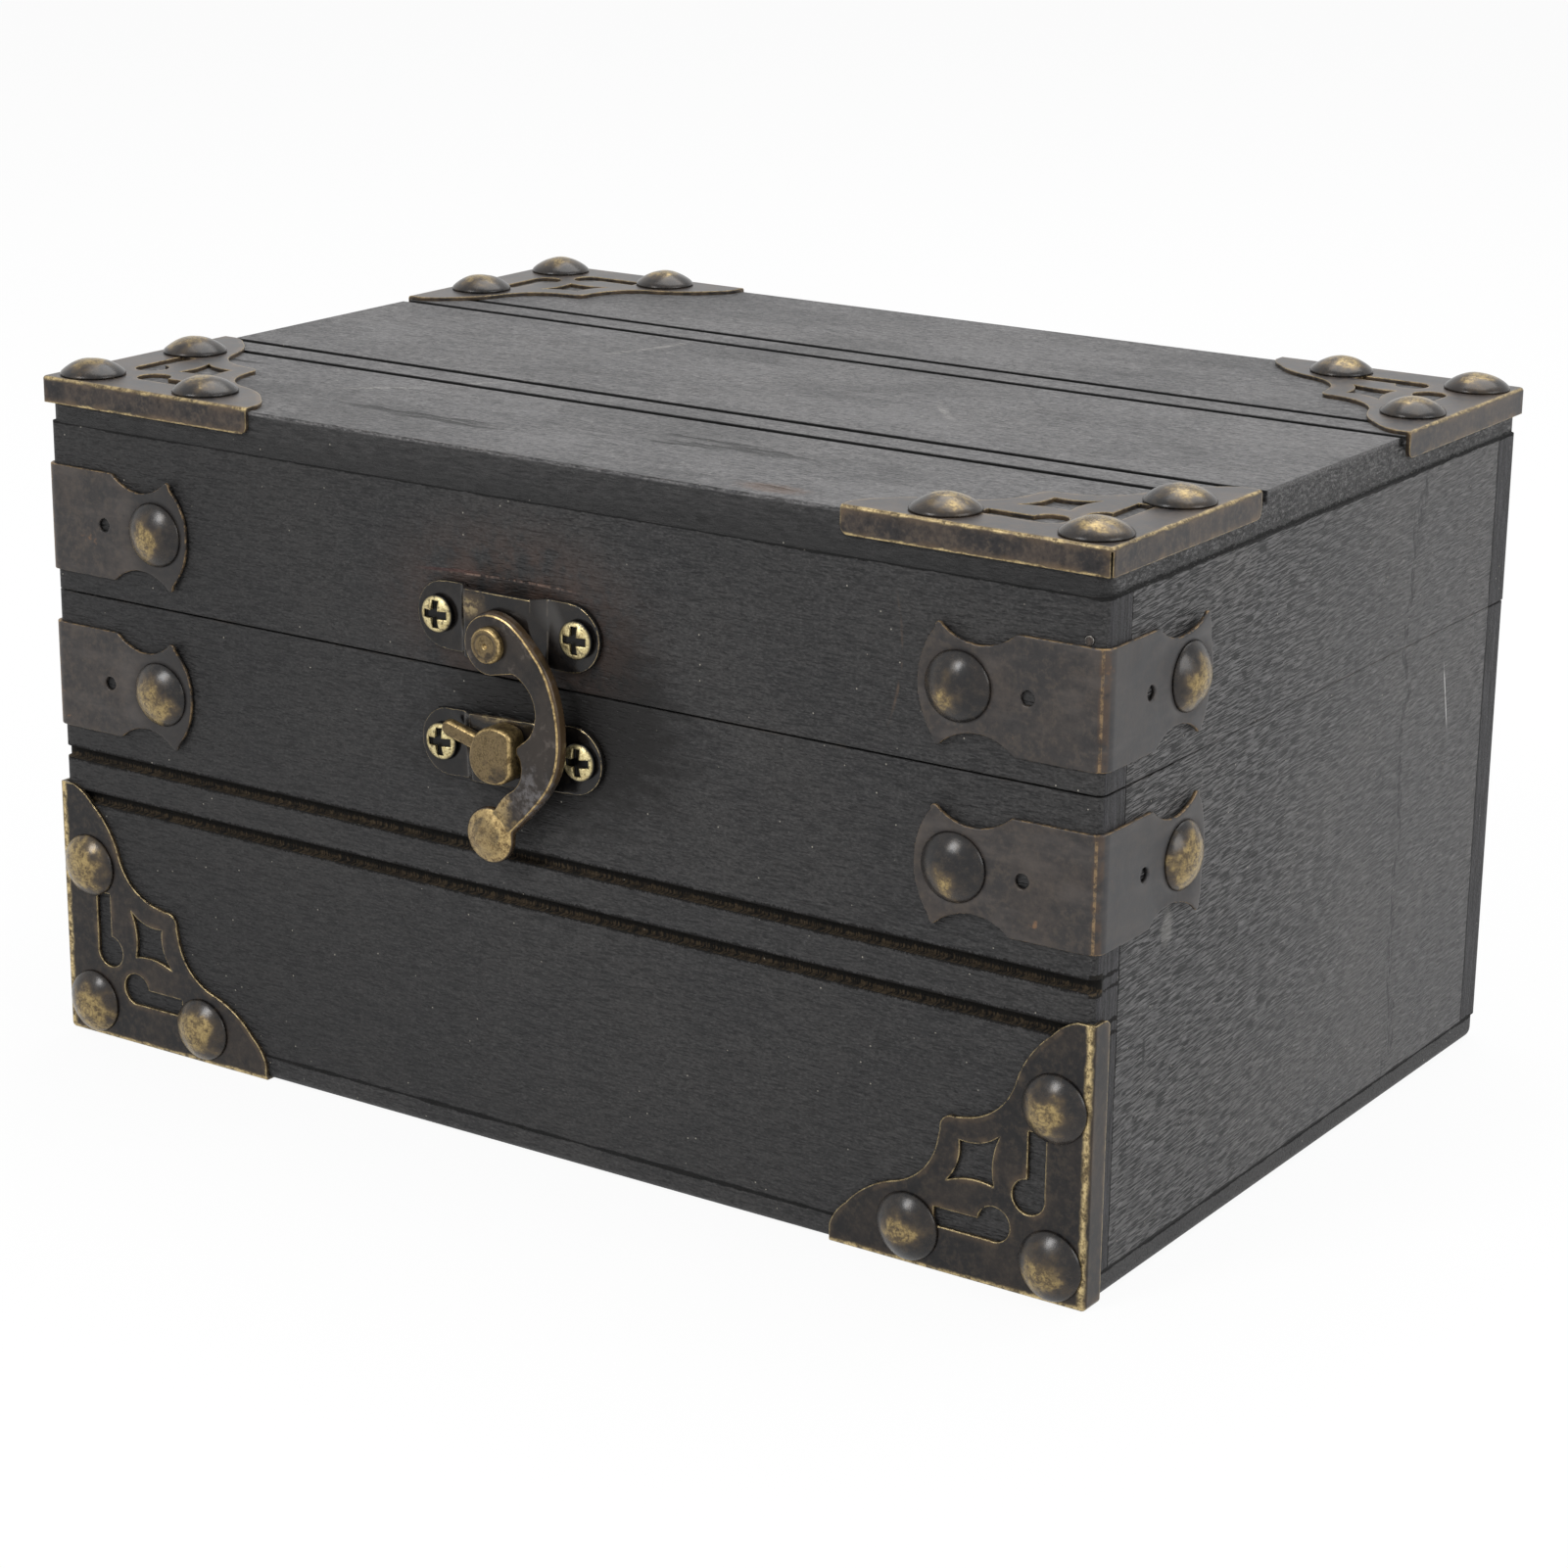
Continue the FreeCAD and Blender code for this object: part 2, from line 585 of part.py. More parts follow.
keep("latch_swing_arm", arm.removeSplitter())


# Butt hinges, drawn about the pin at x = 0 and placed at both sides
def leaf(wood_y, toward_z, knuckle_spans, other_spans, bore):
    """Hinge leaf on the back face: rolled knuckles, and notches for those of the other leaf."""
    near = SPLIT_MID_Z + toward_z * (SPLIT_GAP / 2 + LEAF_RIM_GAP)
    far = near + toward_z * LEAF_TALL
    half = HINGE_LONG / 2
    sheet = box(-half, half, wood_y, wood_y + LEAF_THICK, min(near, far), max(near, far))
    sheet = rounded(sheet, LEAF_CORNER_R, lambda edge: (
        edge.BoundBox.XLength < 0.01 and edge.BoundBox.ZLength < 0.01
        and abs(edge.CenterOfMass.z - far) < 0.01))
    for x0, x1 in other_spans:
        start = Vector(x0 - HINGE_SEGMENT_GAP, HINGE_Y, SPLIT_MID_Z)
        notch_r = KNUCKLE_R + LEAF_RIM_GAP
        sheet = sheet.cut(Part.makeCylinder(notch_r, x1 - x0 + 2 * HINGE_SEGMENT_GAP, start, RIGHT))
    for x0, x1 in knuckle_spans:
        web_far = near + toward_z * WEB_TALL
        web = box(x0, x1, wood_y, HINGE_Y, min(near, web_far), max(near, web_far))
        ring = Part.makeCylinder(KNUCKLE_R, x1 - x0, Vector(x0, HINGE_Y, SPLIT_MID_Z), RIGHT)
        sheet = sheet.fuse(web).fuse(ring)
    sheet = sheet.removeSplitter()
    hole = Part.makeCylinder(bore, HINGE_LONG, Vector(-half, HINGE_Y, SPLIT_MID_Z), RIGHT)
    sheet = sheet.cut(hole)
    pins = []
    for x in (-HINGE_SCREW_X, HINGE_SCREW_X):
        at = (x, wood_y + LEAF_THICK, near + toward_z * HINGE_SCREW_UP)
        pins.append(placed(hinge_screw(), at, LEFT, UP))
    return cut_all(sheet, pins), pins


segment = (HINGE_LONG - 2 * HINGE_SEGMENT_GAP) / 3
half_long = HINGE_LONG / 2
outer_spans = [(-half_long, -half_long + segment), (half_long - segment, half_long)]
inner_span = [(-segment / 2, segment / 2)]
base_leaf, base_leaf_screws = leaf(HALF_D, -1, outer_spans, inner_span, HINGE_PIN_R)
lid_leaf, lid_leaf_screws = leaf(LID_BACK_Y, 1, inner_span, outer_spans, HINGE_PIN_R + RUNNING_FIT)
pin = Part.makeCylinder(HINGE_PIN_R, HINGE_LONG, Vector(-half_long, HINGE_Y, SPLIT_MID_Z), RIGHT)
for x in (-half_long - PIN_HEAD_TALL, half_long):
    pin = pin.fuse(Part.makeCylinder(PIN_HEAD_R, PIN_HEAD_TALL, Vector(x, HINGE_Y, SPLIT_MID_Z), RIGHT))
pin = pin.removeSplitter()
hinge_x = HALF_W - HINGE_FROM_SIDE
for side_name, x in (("left", -hinge_x), ("right", hinge_x)):
    shift = Vector(x, 0, 0)
    keep("hinge_" + side_name + "_base_leaf", base_leaf.translated(shift))
    keep("hinge_" + side_name + "_lid_leaf", lid_leaf.translated(shift))
    keep("hinge_" + side_name + "_pin", pin.translated(shift))
    keep("hinge_base_screws", *[screw.translated(shift) for screw in base_leaf_screws])
    keep("hinge_lid_screws", *[screw.translated(shift) for screw in lid_leaf_screws])

brad_head = Vector(HALF_W - BRAD_FROM_SIDE, -HALF_D - BRAD_PROUD, LID_TOP_Z - BRAD_BELOW_BOARD)
brad = Part.makeCylinder(BRAD_R, BRAD_LONG, brad_head, BACK)
keep("lid_rail_brad", brad)


# Wooden panels, bored for every nail and screw that goes into them
def wall_pair(z0, z1, back_y):
    """Front, back, left and right boards; front and back cover the ends of the sides."""
    front = box(-HALF_W, HALF_W, -HALF_D, -HALF_D + WALL, z0, z1)
    back = box(-HALF_W, HALF_W, HALF_D - WALL, back_y, z0, z1)
    for x in (-HALF_W, HALF_W):
        front = rounded(front, ARRIS_R, upright_at(x, -HALF_D))
        back = rounded(back, ARRIS_R, upright_at(x, back_y))
    right = box(HALF_W - WALL, HALF_W, -HALF_D + WALL, HALF_D - WALL, z0, z1)
    return front, back, mirrored_x(right), right


bottom = box(-HALF_W, HALF_W, -HALF_D, HALF_D, 0, BOTTOM_THICK)
for x in (-HALF_W, HALF_W):
    bottom = rounded(bottom, ARRIS_R, upright_at(x, -HALF_D))
    bottom = rounded(bottom, BOTTOM_CORNER_R, upright_at(x, HALF_D))
bottom = rounded(bottom, BOTTOM_EDGE_R, lambda edge: (
    edge.BoundBox.ZMax < 0.01 and edge.BoundBox.YMin > HALF_D - BOTTOM_CORNER_R - 0.01))
base_walls = wall_pair(BOTTOM_THICK, SPLIT_Z, HALF_D)
lid_walls = wall_pair(LID_RIM_Z, LID_TOP_Z, LID_BACK_Y)
board = box(-HALF_W, HALF_W, -HALF_D, LID_BACK_Y, LID_TOP_Z, BOARD_TOP_Z)
for x in (-HALF_W, HALF_W):
    board = rounded(board, BOARD_CORNER_R, upright_at(x, -HALF_D))
    board = rounded(board, BOARD_CORNER_R, upright_at(x, LID_BACK_Y))

front_grooves = [box(-HALF_W, HALF_W, -HALF_D, -HALF_D + GROOVE_DEPTH,
                     z - FRONT_GROOVE_TALL / 2, z + FRONT_GROOVE_TALL / 2) for z in FRONT_GROOVE_Z]
lid_grooves = [box(-HALF_W, HALF_W, y - LID_GROOVE_WIDE / 2, y + LID_GROOVE_WIDE / 2,
                   BOARD_TOP_Z - GROOVE_DEPTH, BOARD_TOP_Z) for y in LID_GROOVE_Y]

base_tools = [*parts["base_bracket_nails"], *parts["base_strap_nails"], *parts["latch_lower_screws"],
              *parts["hinge_base_screws"]]
lid_tools = [*parts["lid_bracket_nails"], *parts["lid_strap_nails"], *parts["latch_upper_screws"],
             *parts["hinge_lid_screws"], brad]


def near_tools(shape, tools):
    """The tools whose bounds touch the shape."""
    return [tool for tool in tools if tool.BoundBox.intersect(shape.BoundBox)]


keep("bottom_panel", cut_all(bottom, [*parts["base_left_corner_bracket"],
                                      *parts["base_right_corner_bracket"]]))
wall_names = ("front", "back", "left", "right")
for name, wall in zip(wall_names, base_walls):
    grooves = front_grooves if name == "front" else []
    keep("base_" + name + "_panel", cut_all(wall, [*grooves, *near_tools(wall, base_tools)]))
for name, wall in zip(wall_names, lid_walls):
    keep("lid_" + name + "_rail", cut_all(wall, near_tools(wall, lid_tools)))
keep("lid_top_board", cut_all(board, [*lid_grooves, *near_tools(board, lid_tools)]))

os.makedirs("parts", exist_ok=True)
for node, solids in parts.items():
    shape = solids[0] if len(solids) == 1 else Part.makeCompound(solids)
    if len(shape.Solids) != len(solids) or not shape.isValid():
        raise RuntimeError(node + " is not made of whole, valid solids")
    shape.exportStep("parts/" + node + ".step")
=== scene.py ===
import json
import math
import random

import bmesh
import bpy
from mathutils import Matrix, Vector, noise

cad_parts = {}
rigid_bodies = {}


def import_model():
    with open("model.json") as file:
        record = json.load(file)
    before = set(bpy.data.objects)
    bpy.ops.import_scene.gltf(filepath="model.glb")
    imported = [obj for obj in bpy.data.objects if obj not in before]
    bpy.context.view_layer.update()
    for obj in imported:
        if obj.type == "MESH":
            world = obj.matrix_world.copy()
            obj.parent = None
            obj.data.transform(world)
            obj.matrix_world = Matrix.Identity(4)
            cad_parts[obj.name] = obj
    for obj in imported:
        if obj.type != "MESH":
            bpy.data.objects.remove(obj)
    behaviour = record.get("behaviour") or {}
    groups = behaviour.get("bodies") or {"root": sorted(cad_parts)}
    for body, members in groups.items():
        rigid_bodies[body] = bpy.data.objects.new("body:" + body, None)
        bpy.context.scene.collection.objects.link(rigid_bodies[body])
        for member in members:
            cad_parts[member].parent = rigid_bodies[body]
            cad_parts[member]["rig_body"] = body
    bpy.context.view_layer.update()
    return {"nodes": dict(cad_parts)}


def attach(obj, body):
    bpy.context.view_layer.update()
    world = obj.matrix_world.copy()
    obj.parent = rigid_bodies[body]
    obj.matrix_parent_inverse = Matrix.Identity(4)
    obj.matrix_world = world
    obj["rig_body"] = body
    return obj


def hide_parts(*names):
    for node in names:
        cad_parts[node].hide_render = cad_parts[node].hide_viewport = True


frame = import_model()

nodes = frame["nodes"]
MM = 1000  # millimetres in a metre; lengths are in millimetres up to the floor

# The box, as the construction has it
HALF_W, HALF_D = 90.0, 62.0
WALL = 6.0
OUT_X, OUT_FRONT, OUT_BACK = 90.6, -62.6, 62.9  # outer faces of the bronze sheets
PLATE_Z = 102.8
BOTTOM_Z, SPLIT_Z, LID_Z, BOARD_TOP = 3.8, 70.2, 96.0, 102.2
FRONT_GROOVES = (38.3, 44.9)
LID_GROOVES = (-28.2, -21.2, 21.6, 28.6)
STRAP_Z = {"lid": 81.65, "base": 57.35}
STRAP_NAIL, STRAP_HOLE = 21.7, 11.5  # from the strap's fold
CORNER_NAILS = ((5.4, 5.4), (5.5, 27.5), (27.5, 5.5))  # from a corner plate's two folds
UPPER_SCREWS = ((-15.55, 78.15), (8.55, 78.15))
LOWER_SCREWS = ((-15.15, 60.87), (8.95, 59.73))
RIVET_AT = (-3.45, 76.4)
BALL_AT = (-4.05, 48.8)
CATCH_AT = (-1.6, 57.6)


def rgb(r, g, b):
    """A colour written as it should look on screen."""
    def channel(c):
        c /= 255
        return c / 12.92 if c <= 0.04045 else ((c + 0.055) / 1.055) ** 2.4
    return (channel(r), channel(g), channel(b), 1.0)


def scaled(paint, tone):
    """A screen colour made lighter or darker."""
    return tuple(channel * tone for channel in paint)


class Net:
    """One material's node tree; positions are in millimetres in the part's own axes."""

    def __init__(self, name):
        self.mat = bpy.data.materials.new(name)
        self.mat.use_nodes = True
        self.tree = self.mat.node_tree
        self.tree.nodes.clear()
        out = self.node("ShaderNodeOutputMaterial")
        self.shader = self.node("ShaderNodeBsdfPrincipled")
        self.tree.links.new(self.shader.outputs[0], out.inputs[0])
        place = self.node("ShaderNodeTexCoord").outputs["Object"]
        self.pos = self.vec("MULTIPLY", place, (MM, MM, MM))
        self.x, self.y, self.z = self.axes(self.pos)
        self.normal = self.node("ShaderNodeNewGeometry").outputs["Normal"]

    def node(self, kind, **settings):
        made = self.tree.nodes.new(kind)
        for key, value in settings.items():
            setattr(made, key, value)
        return made

    def put(self, socket, value):
        if isinstance(value, bpy.types.NodeSocket):
            self.tree.links.new(value, socket)
        else:
            socket.default_value = value

    def fed(self, made, values):
        """A node with its sockets filled from a mapping of socket to value."""
        for socket, value in values.items():
            self.put(made.inputs[socket], value)
        return made

    def axes(self, vector):
        return self.fed(self.node("ShaderNodeSeparateXYZ"), {0: vector}).outputs

    def marked(self, label):
        """The three numbers that a mesh carries under a label."""
        return self.axes(self.node("ShaderNodeAttribute", attribute_name=label).outputs["Vector"])

    def math(self, operation, *values):
        made = self.node("ShaderNodeMath", operation=operation)
        return self.fed(made, dict(enumerate(values))).outputs[0]

    def plus(self, a, b):
        return self.math("ADD", a, b)

    def minus(self, a, b):
        return self.math("SUBTRACT", a, b)

    def inverse(self, mask):
        return self.math("SUBTRACT", 1.0, mask)

    def absolute(self, value):
        return self.math("ABSOLUTE", value)

    def times(self, *values):
        result = values[0]
        for value in values[1:]:
            result = self.math("MULTIPLY", result, value)
        return result

    def most(self, *values):
        result = values[0]
        for value in values[1:]:
            result = self.math("MAXIMUM", result, value)
        return result

    def length(self, u, v):
        return self.math("SQRT", self.plus(self.times(u, u), self.times(v, v)))

    def swing(self, texture, reach):
        """A texture turned into a value on both sides of zero."""
        return self.times(self.minus(texture, 0.5), reach)

    def vec(self, operation, *values):
        made = self.fed(self.node("ShaderNodeVectorMath", operation=operation),
                        dict(enumerate(values)))
        return made.outputs["Value" if operation == "DOT_PRODUCT" else "Vector"]

    def stretch(self, vector, x, y, z):
        return self.vec("MULTIPLY", vector, (x, y, z))

    def join(self, x, y, z):
        return self.fed(self.node("ShaderNodeCombineXYZ"), {0: x, 1: y, 2: z}).outputs[0]

    def mix(self, share, a, b):
        made = self.node("ShaderNodeMix", data_type="RGBA")
        return self.fed(made, {0: share, 6: a, 7: b}).outputs[2]

    def between(self, share, a, b):
        made = self.node("ShaderNodeMix", data_type="FLOAT")
        return self.fed(made, {0: share, 2: a, 3: b}).outputs[0]

    def tint(self, color, paint, *shares):
        """The colour with paint over it, as thick as the product of the shares."""
        return self.mix(self.times(*shares), color, rgb(*paint))

    def step(self, value, low, high, to_low=0.0, to_high=1.0):
        made = self.node("ShaderNodeMapRange", interpolation_type="SMOOTHSTEP")
        return self.fed(made, {0: value, 1: low, 2: high, 3: to_low, 4: to_high}).outputs[0]

    def noise(self, vector, scale, detail=2.0, rough=0.5):
        return self.fed(self.node("ShaderNodeTexNoise"),
                        {"Vector": vector, "Scale": scale, "Detail": detail,
                         "Roughness": rough, "Distortion": 0.0}).outputs["Fac"]

    def cells(self, vector, scale):
        made = self.fed(self.node("ShaderNodeTexVoronoi"), {"Vector": vector, "Scale": scale})
        return made.outputs["Distance"], made.outputs["Color"]

    def near(self, value, place, reach, ragged=None):
        """1 where the value is within reach of a place, fading to 0."""
        away = self.absolute(self.minus(value, place))
        if ragged is not None:
            away = self.plus(away, ragged)
        return self.step(away, reach, reach * 0.45)

    def spot(self, a, b, at, size, ragged=None):
        """1 inside an ellipse on two coordinates, fading to 0 at its edge."""
        u = self.math("DIVIDE", self.minus(a, at[0]), size[0])
        v = self.math("DIVIDE", self.minus(b, at[1]), size[1])
        away = self.length(u, v)
        if ragged is not None:
            away = self.plus(away, ragged)
        return self.step(away, 1.0, 0.35)

    def edges(self, radius, low=0.03, high=0.25):
        """Normal softened over the edges, and a mask that is 1 on them."""
        soft = self.node("ShaderNodeBevel", samples=6)
        soft.inputs["Radius"].default_value = radius / MM
        turned = self.inverse(self.vec("DOT_PRODUCT", soft.outputs[0], self.normal))
        return soft.outputs[0], self.step(turned, low, high)

    def bump(self, height, distance, normal, strength):
        return self.fed(self.node("ShaderNodeBump"),
                        {"Strength": strength, "Distance": distance / MM,
                         "Height": height, "Normal": normal}).outputs[0]

    def finish(self, color, rough, normal, metallic, specular):
        self.fed(self.shader, {"Base Color": color, "Roughness": rough, "Normal": normal,
                               "Metallic": metallic, "Specular IOR Level": specular})
        return self.mat


# Grain along the front (x) and along the sides (y): stretch and scale of its threads, stretch
# of the fine texture and the darkest share of it, bounds of the pores, and the way it wavers
GRAINS = {
    "x": {"along": (0.13, 1, 1), "fibre": 2.1, "streak": 3.4, "fine": (0.5, 1, 1),
          "depth": 0.55, "pore": (0.55, 0.66), "turn": (0, 0.7, 0.7)},
    "y": {"along": (1, 0.075, 1), "fibre": 2.8, "streak": 4.2, "fine": (1, 0.13, 1.1),
          "depth": 0.7, "pore": (0.50, 0.56), "turn": (0, 0, 1)},
}
SIDE_GRAIN_SLOPE = 0.06


def wood(name, grain, wave=0.0, tone=1.0, seams=(), extra=None, pores=1.0, shine=0.28,
         clouds=0.35):
    """Charcoal stain on open-grained wood; seams are (axis, place) of dark joint lines."""
    n = Net(name)
    run = GRAINS[grain]
    along_side = grain == "y"
    slow = n.noise(n.pos, 0.05, 2.0)
    ripple = n.noise(n.stretch(n.pos, 0.16, 0.16, 0.05), 1.0, 1.0)
    shift = n.plus(n.swing(slow, 0.8 + 6.0 * wave), n.swing(ripple, 7.0 * wave))
    warped = n.vec("ADD", n.pos, n.join(*(n.times(shift, share) for share in run["turn"])))
    if along_side:
        warped = n.vec("ADD", warped, n.join(0.0, 0.0, n.times(n.y, -SIDE_GRAIN_SLOPE)))
    threads = n.stretch(warped, *run["along"])
    fibre = n.noise(threads, run["fibre"], 3.0, 0.65)
    streak = n.noise(threads, run["streak"], 1.0, 0.5)
    cloud = n.noise(n.pos, 0.035, 3.0, 0.6)
    fine = n.noise(n.stretch(warped if along_side else n.pos, *run["fine"]), 3.4, 2.0, 0.7)
    pore = n.step(streak, *run["pore"])
    if along_side:
        fade = n.step(n.plus(n.y, n.times(cloud, 60.0)), 70.0, -10.0, 0.3, 1.0)
        pore = n.times(pore, fade)

    # tone makes lit and shaded copies of the stain: painted light, lighter for faces lit more and
    # darker for faces lit less
    pale = (46 + 11 * pores, 45 + 11 * pores, 45 + 11 * pores)
    color = n.mix(n.step(fibre, 0.30, 0.70), rgb(*scaled((33, 33, 34), tone)),
                  rgb(*scaled(pale, tone)))
    color = n.tint(color, scaled((66, 64, 62), tone), n.step(cloud, 0.35, 0.75, 0.0, clouds))
    color = n.tint(color, (12, 12, 13), n.step(fine, 0.5, 0.68, 0.0, run["depth"]))
    color = n.tint(color, scaled((92, 91, 90), tone), n.step(fine, 0.48, 0.32, 0.0, 0.3))
    color = n.tint(color, (5, 5, 6), pore, min(1.0, 0.5 * pores))
    soft, edge = n.edges(0.5)
    worn = n.step(n.noise(n.pos, 0.22, 3.0, 0.7), 0.45, 0.65)
    color = n.tint(color, (74, 62, 52), edge, worn, 0.4)
    rough = n.between(n.step(fibre, 0.3, 0.7), 0.48, 0.6)
    height = n.minus(n.times(fibre, 0.6 * pores), n.times(pore, 0.7 * pores))
    height = n.minus(height, n.times(fine, 0.3))
    if extra is not None:
        color, rough, height = extra(n, color, rough, height)

    if seams:
        broken = n.minus(n.noise(n.pos, 0.12, 2.0, 0.6), 0.46)
        ragged = n.plus(n.swing(n.noise(n.pos, 0.9, 3.0, 0.7), 0.5), broken)
        values = {"y": n.y, "z": n.z}
        joint = n.most(*(n.near(values[axis], at, 0.36, ragged) for axis, at in seams))
        color = n.tint(color, (7, 7, 7), joint, 0.85)
        rough = n.between(joint, rough, 0.9)
        height = n.minus(height, n.times(joint, 2.0))

    away, dye = n.cells(n.pos, 0.6)
    pick = n.fed(n.node("ShaderNodeSeparateColor"), {0: dye}).outputs
    dust = n.times(n.step(away, 0.09, 0.04), n.step(pick[0], 0.72, 0.75))
    color = n.tint(color, (165, 160, 148), dust, n.step(pick[1], 0.0, 1.0, 0.25, 0.8))
    return n.finish(color, rough, n.bump(height, 0.16, soft, 0.8), 0.0, shine)


def metal(name, lines=(), halo=1.0, shine=0.34, extra=None, edge=0.35, edge_worn=0.9, dark=1.0,
          brass=((122, 104, 72), (204, 182, 134)), gloss=0.32):
    """Antique bronze; lines are (reach, coordinates) of bends rubbed bright."""
    n = Net(name)
    soft, rim = n.edges(edge)
    n.grime = n.noise(n.pos, 0.9, 4.0, 0.7)
    n.patch = n.noise(n.pos, 0.13, 3.0, 0.6)
    n.blotch = n.noise(n.pos, 0.38, 3.0, 0.55)
    speck = n.noise(n.pos, 4.0, 2.0, 0.6)
    turn = n.axes(n.normal)
    n.sideways, n.facing, n.upright = (n.absolute(part) for part in turn)
    n.bevel = n.times(n.step(n.facing, 0.97, 0.93), n.step(n.facing, 0.78, 0.86))
    n.outward = n.step(n.plus(turn[0], n.times(turn[2], 0.4)), 0.05, 0.3)

    color = n.mix(n.step(n.patch, 0.38, 0.68), rgb(*scaled((38, 36, 37), dark)),
                  rgb(*scaled((62, 54, 49), dark)))
    color = n.tint(color, scaled((82, 72, 62), dark), n.step(n.grime, 0.45, 0.68, 0.0, 0.7))
    color = n.tint(color, (20, 19, 19), n.step(n.grime, 0.46, 0.30, 0.0, 0.7))
    if halo:
        wide = n.edges(1.7, 0.01, 0.14)[1]
        color = n.tint(color, (112, 92, 68), wide, n.step(n.patch, 0.30, 0.58),
                       n.step(n.blotch, 0.35, 0.6), 0.75 * halo)
    worn = n.times(rim, n.step(n.grime, 0.30, 0.46), edge_worn)
    values = {"x": n.absolute(n.x), "y": n.y, "z": n.z}
    for reach, place in lines:
        away = n.length(*(n.minus(values[axis], at) for axis, at in place))
        away = n.plus(n.plus(away, n.swing(n.grime, 1.0)), n.swing(n.blotch, 0.9))
        rubbed = n.times(n.step(away, reach, reach * 0.2), n.step(n.grime, 0.36, 0.56, 0.35, 0.95))
        worn = n.most(worn, rubbed)
    height = n.plus(n.times(n.grime, 0.6), n.times(speck, 0.2))
    if extra is not None:
        color, worn, height = extra(n, color, worn, height)

    tone = n.plus(n.times(n.grime, 0.6), n.times(speck, 0.4))
    color = n.mix(worn, color, n.mix(n.step(tone, 0.36, 0.62), rgb(*brass[0]), rgb(*brass[1])))
    rough = n.plus(n.between(worn, shine, shine + 0.06), n.swing(n.grime, 0.16))
    return n.finish(color, rough, n.bump(height, 0.05, soft, 0.5),
                    n.between(worn, 0.2, 0.85), gloss)


def end_strip(n, color):
    """Darker end grain with upright streaks where a front or back board ends on the side."""
    at_end = n.step(n.absolute(n.x), HALF_W - 0.25, HALF_W - 0.05)
    streaks = n.noise(n.stretch(n.pos, 1.0, 2.4, 0.10), 1.0, 3.0, 0.65)
    end_grain = n.mix(n.step(streaks, 0.38, 0.66), rgb(14, 14, 15), rgb(58, 57, 60))
    return n.mix(n.times(at_end, 0.85), color, end_grain)


def painted_shade_left(n, color):
    """Painted shade: the front is painted a little darker towards the left."""
    return n.tint(color, (10, 10, 11), n.step(n.x, 20.0, -90.0, 0.0, 0.38))


def on_front(n):
    return n.step(n.y, -HALF_D + 0.3, -HALF_D + 0.1)


# Middles and half sizes of the dirt and painted shade around the latch: upper plate, lower plate,
# and behind the arm, where it is the arm's painted shadow
DIRT_AND_SHADE_SPOTS = (((-2.5, 77.5), (21.5, 11.5)), ((-2.0, 60.0), (23.0, 11.0)), ((6.0, 67.0), (19.0, 15.0)))


def latch_dirt_and_shade(n, color):
    """Dirt gathered in the wood around the two latch plates, with painted shade around them and the
    arm's painted shadow beside it.
    """
    cloud = n.swing(n.noise(n.stretch(n.pos, 0.5, 0.5, 1.2), 0.5, 4.0, 0.7), 1.3)
    spread = (cloud, cloud, n.minus(cloud, 0.35))
    around = n.most(*(n.spot(n.x, n.z, at, size, ragged)
                      for (at, size), ragged in zip(DIRT_AND_SHADE_SPOTS, spread)))
    return n.tint(color, (14, 12, 11), around, on_front(n), 0.97)


def groove_floor(n, axis, surface, inward, rows):
    """1 on the floor of a board's grooves: just below its surface and along their rows."""
    bounds = ((0.02, 0.12), (2.0, 1.8))
    sunk = n.times(*(n.step(axis, surface + inward * a, surface + inward * b) for a, b in bounds))
    return n.times(sunk, n.step(rows, 0.0, 0.1))


def grooved_front(n, color, rough, height):
    """Dark torn fibres in the two grooves of the front panel."""
    half_groove = 0.925
    color = latch_dirt_and_shade(n, painted_shade_left(n, end_strip(n, color)))
    rows = n.most(*(n.near(n.z, z, 1.7) for z in FRONT_GROOVES))
    inside = groove_floor(n, n.y, -HALF_D, 1, rows)
    hairs = n.noise(n.stretch(n.pos, 2.6, 0.5, 0.30), 1.0, 4.0, 0.75)
    clump = n.noise(n.stretch(n.pos, 0.5, 0.3, 0.4), 1.0, 3.0, 0.7)
    tuft = n.noise(n.stretch(n.pos, 3.4, 0.5, 0.5), 1.0, 3.0, 0.7)
    fringe = n.plus(n.swing(hairs, 1.5), n.swing(clump, 0.8))
    edge = n.most(*(n.near(n.z, z + side, 0.34, fringe)
                    for z in FRONT_GROOVES for side in (-half_groove, half_groove)))
    color = n.tint(color, (15, 13, 12), edge, 0.85)
    low = n.most(*(n.near(n.z, z - 0.85, 0.55, fringe) for z in FRONT_GROOVES))
    fibres = n.step(n.plus(n.times(tuft, 0.75), n.times(clump, 0.25)), 0.42, 0.6)
    shown = n.times(fibres, n.step(low, 0.0, 1.0, 0.05, 1.0))
    color = n.mix(inside, color, n.mix(shown, rgb(18, 17, 15), rgb(78, 66, 50)))
    rough = n.between(n.most(inside, edge), rough, 0.95)
    return color, rough, n.plus(height, n.times(inside, hairs, 2.5))


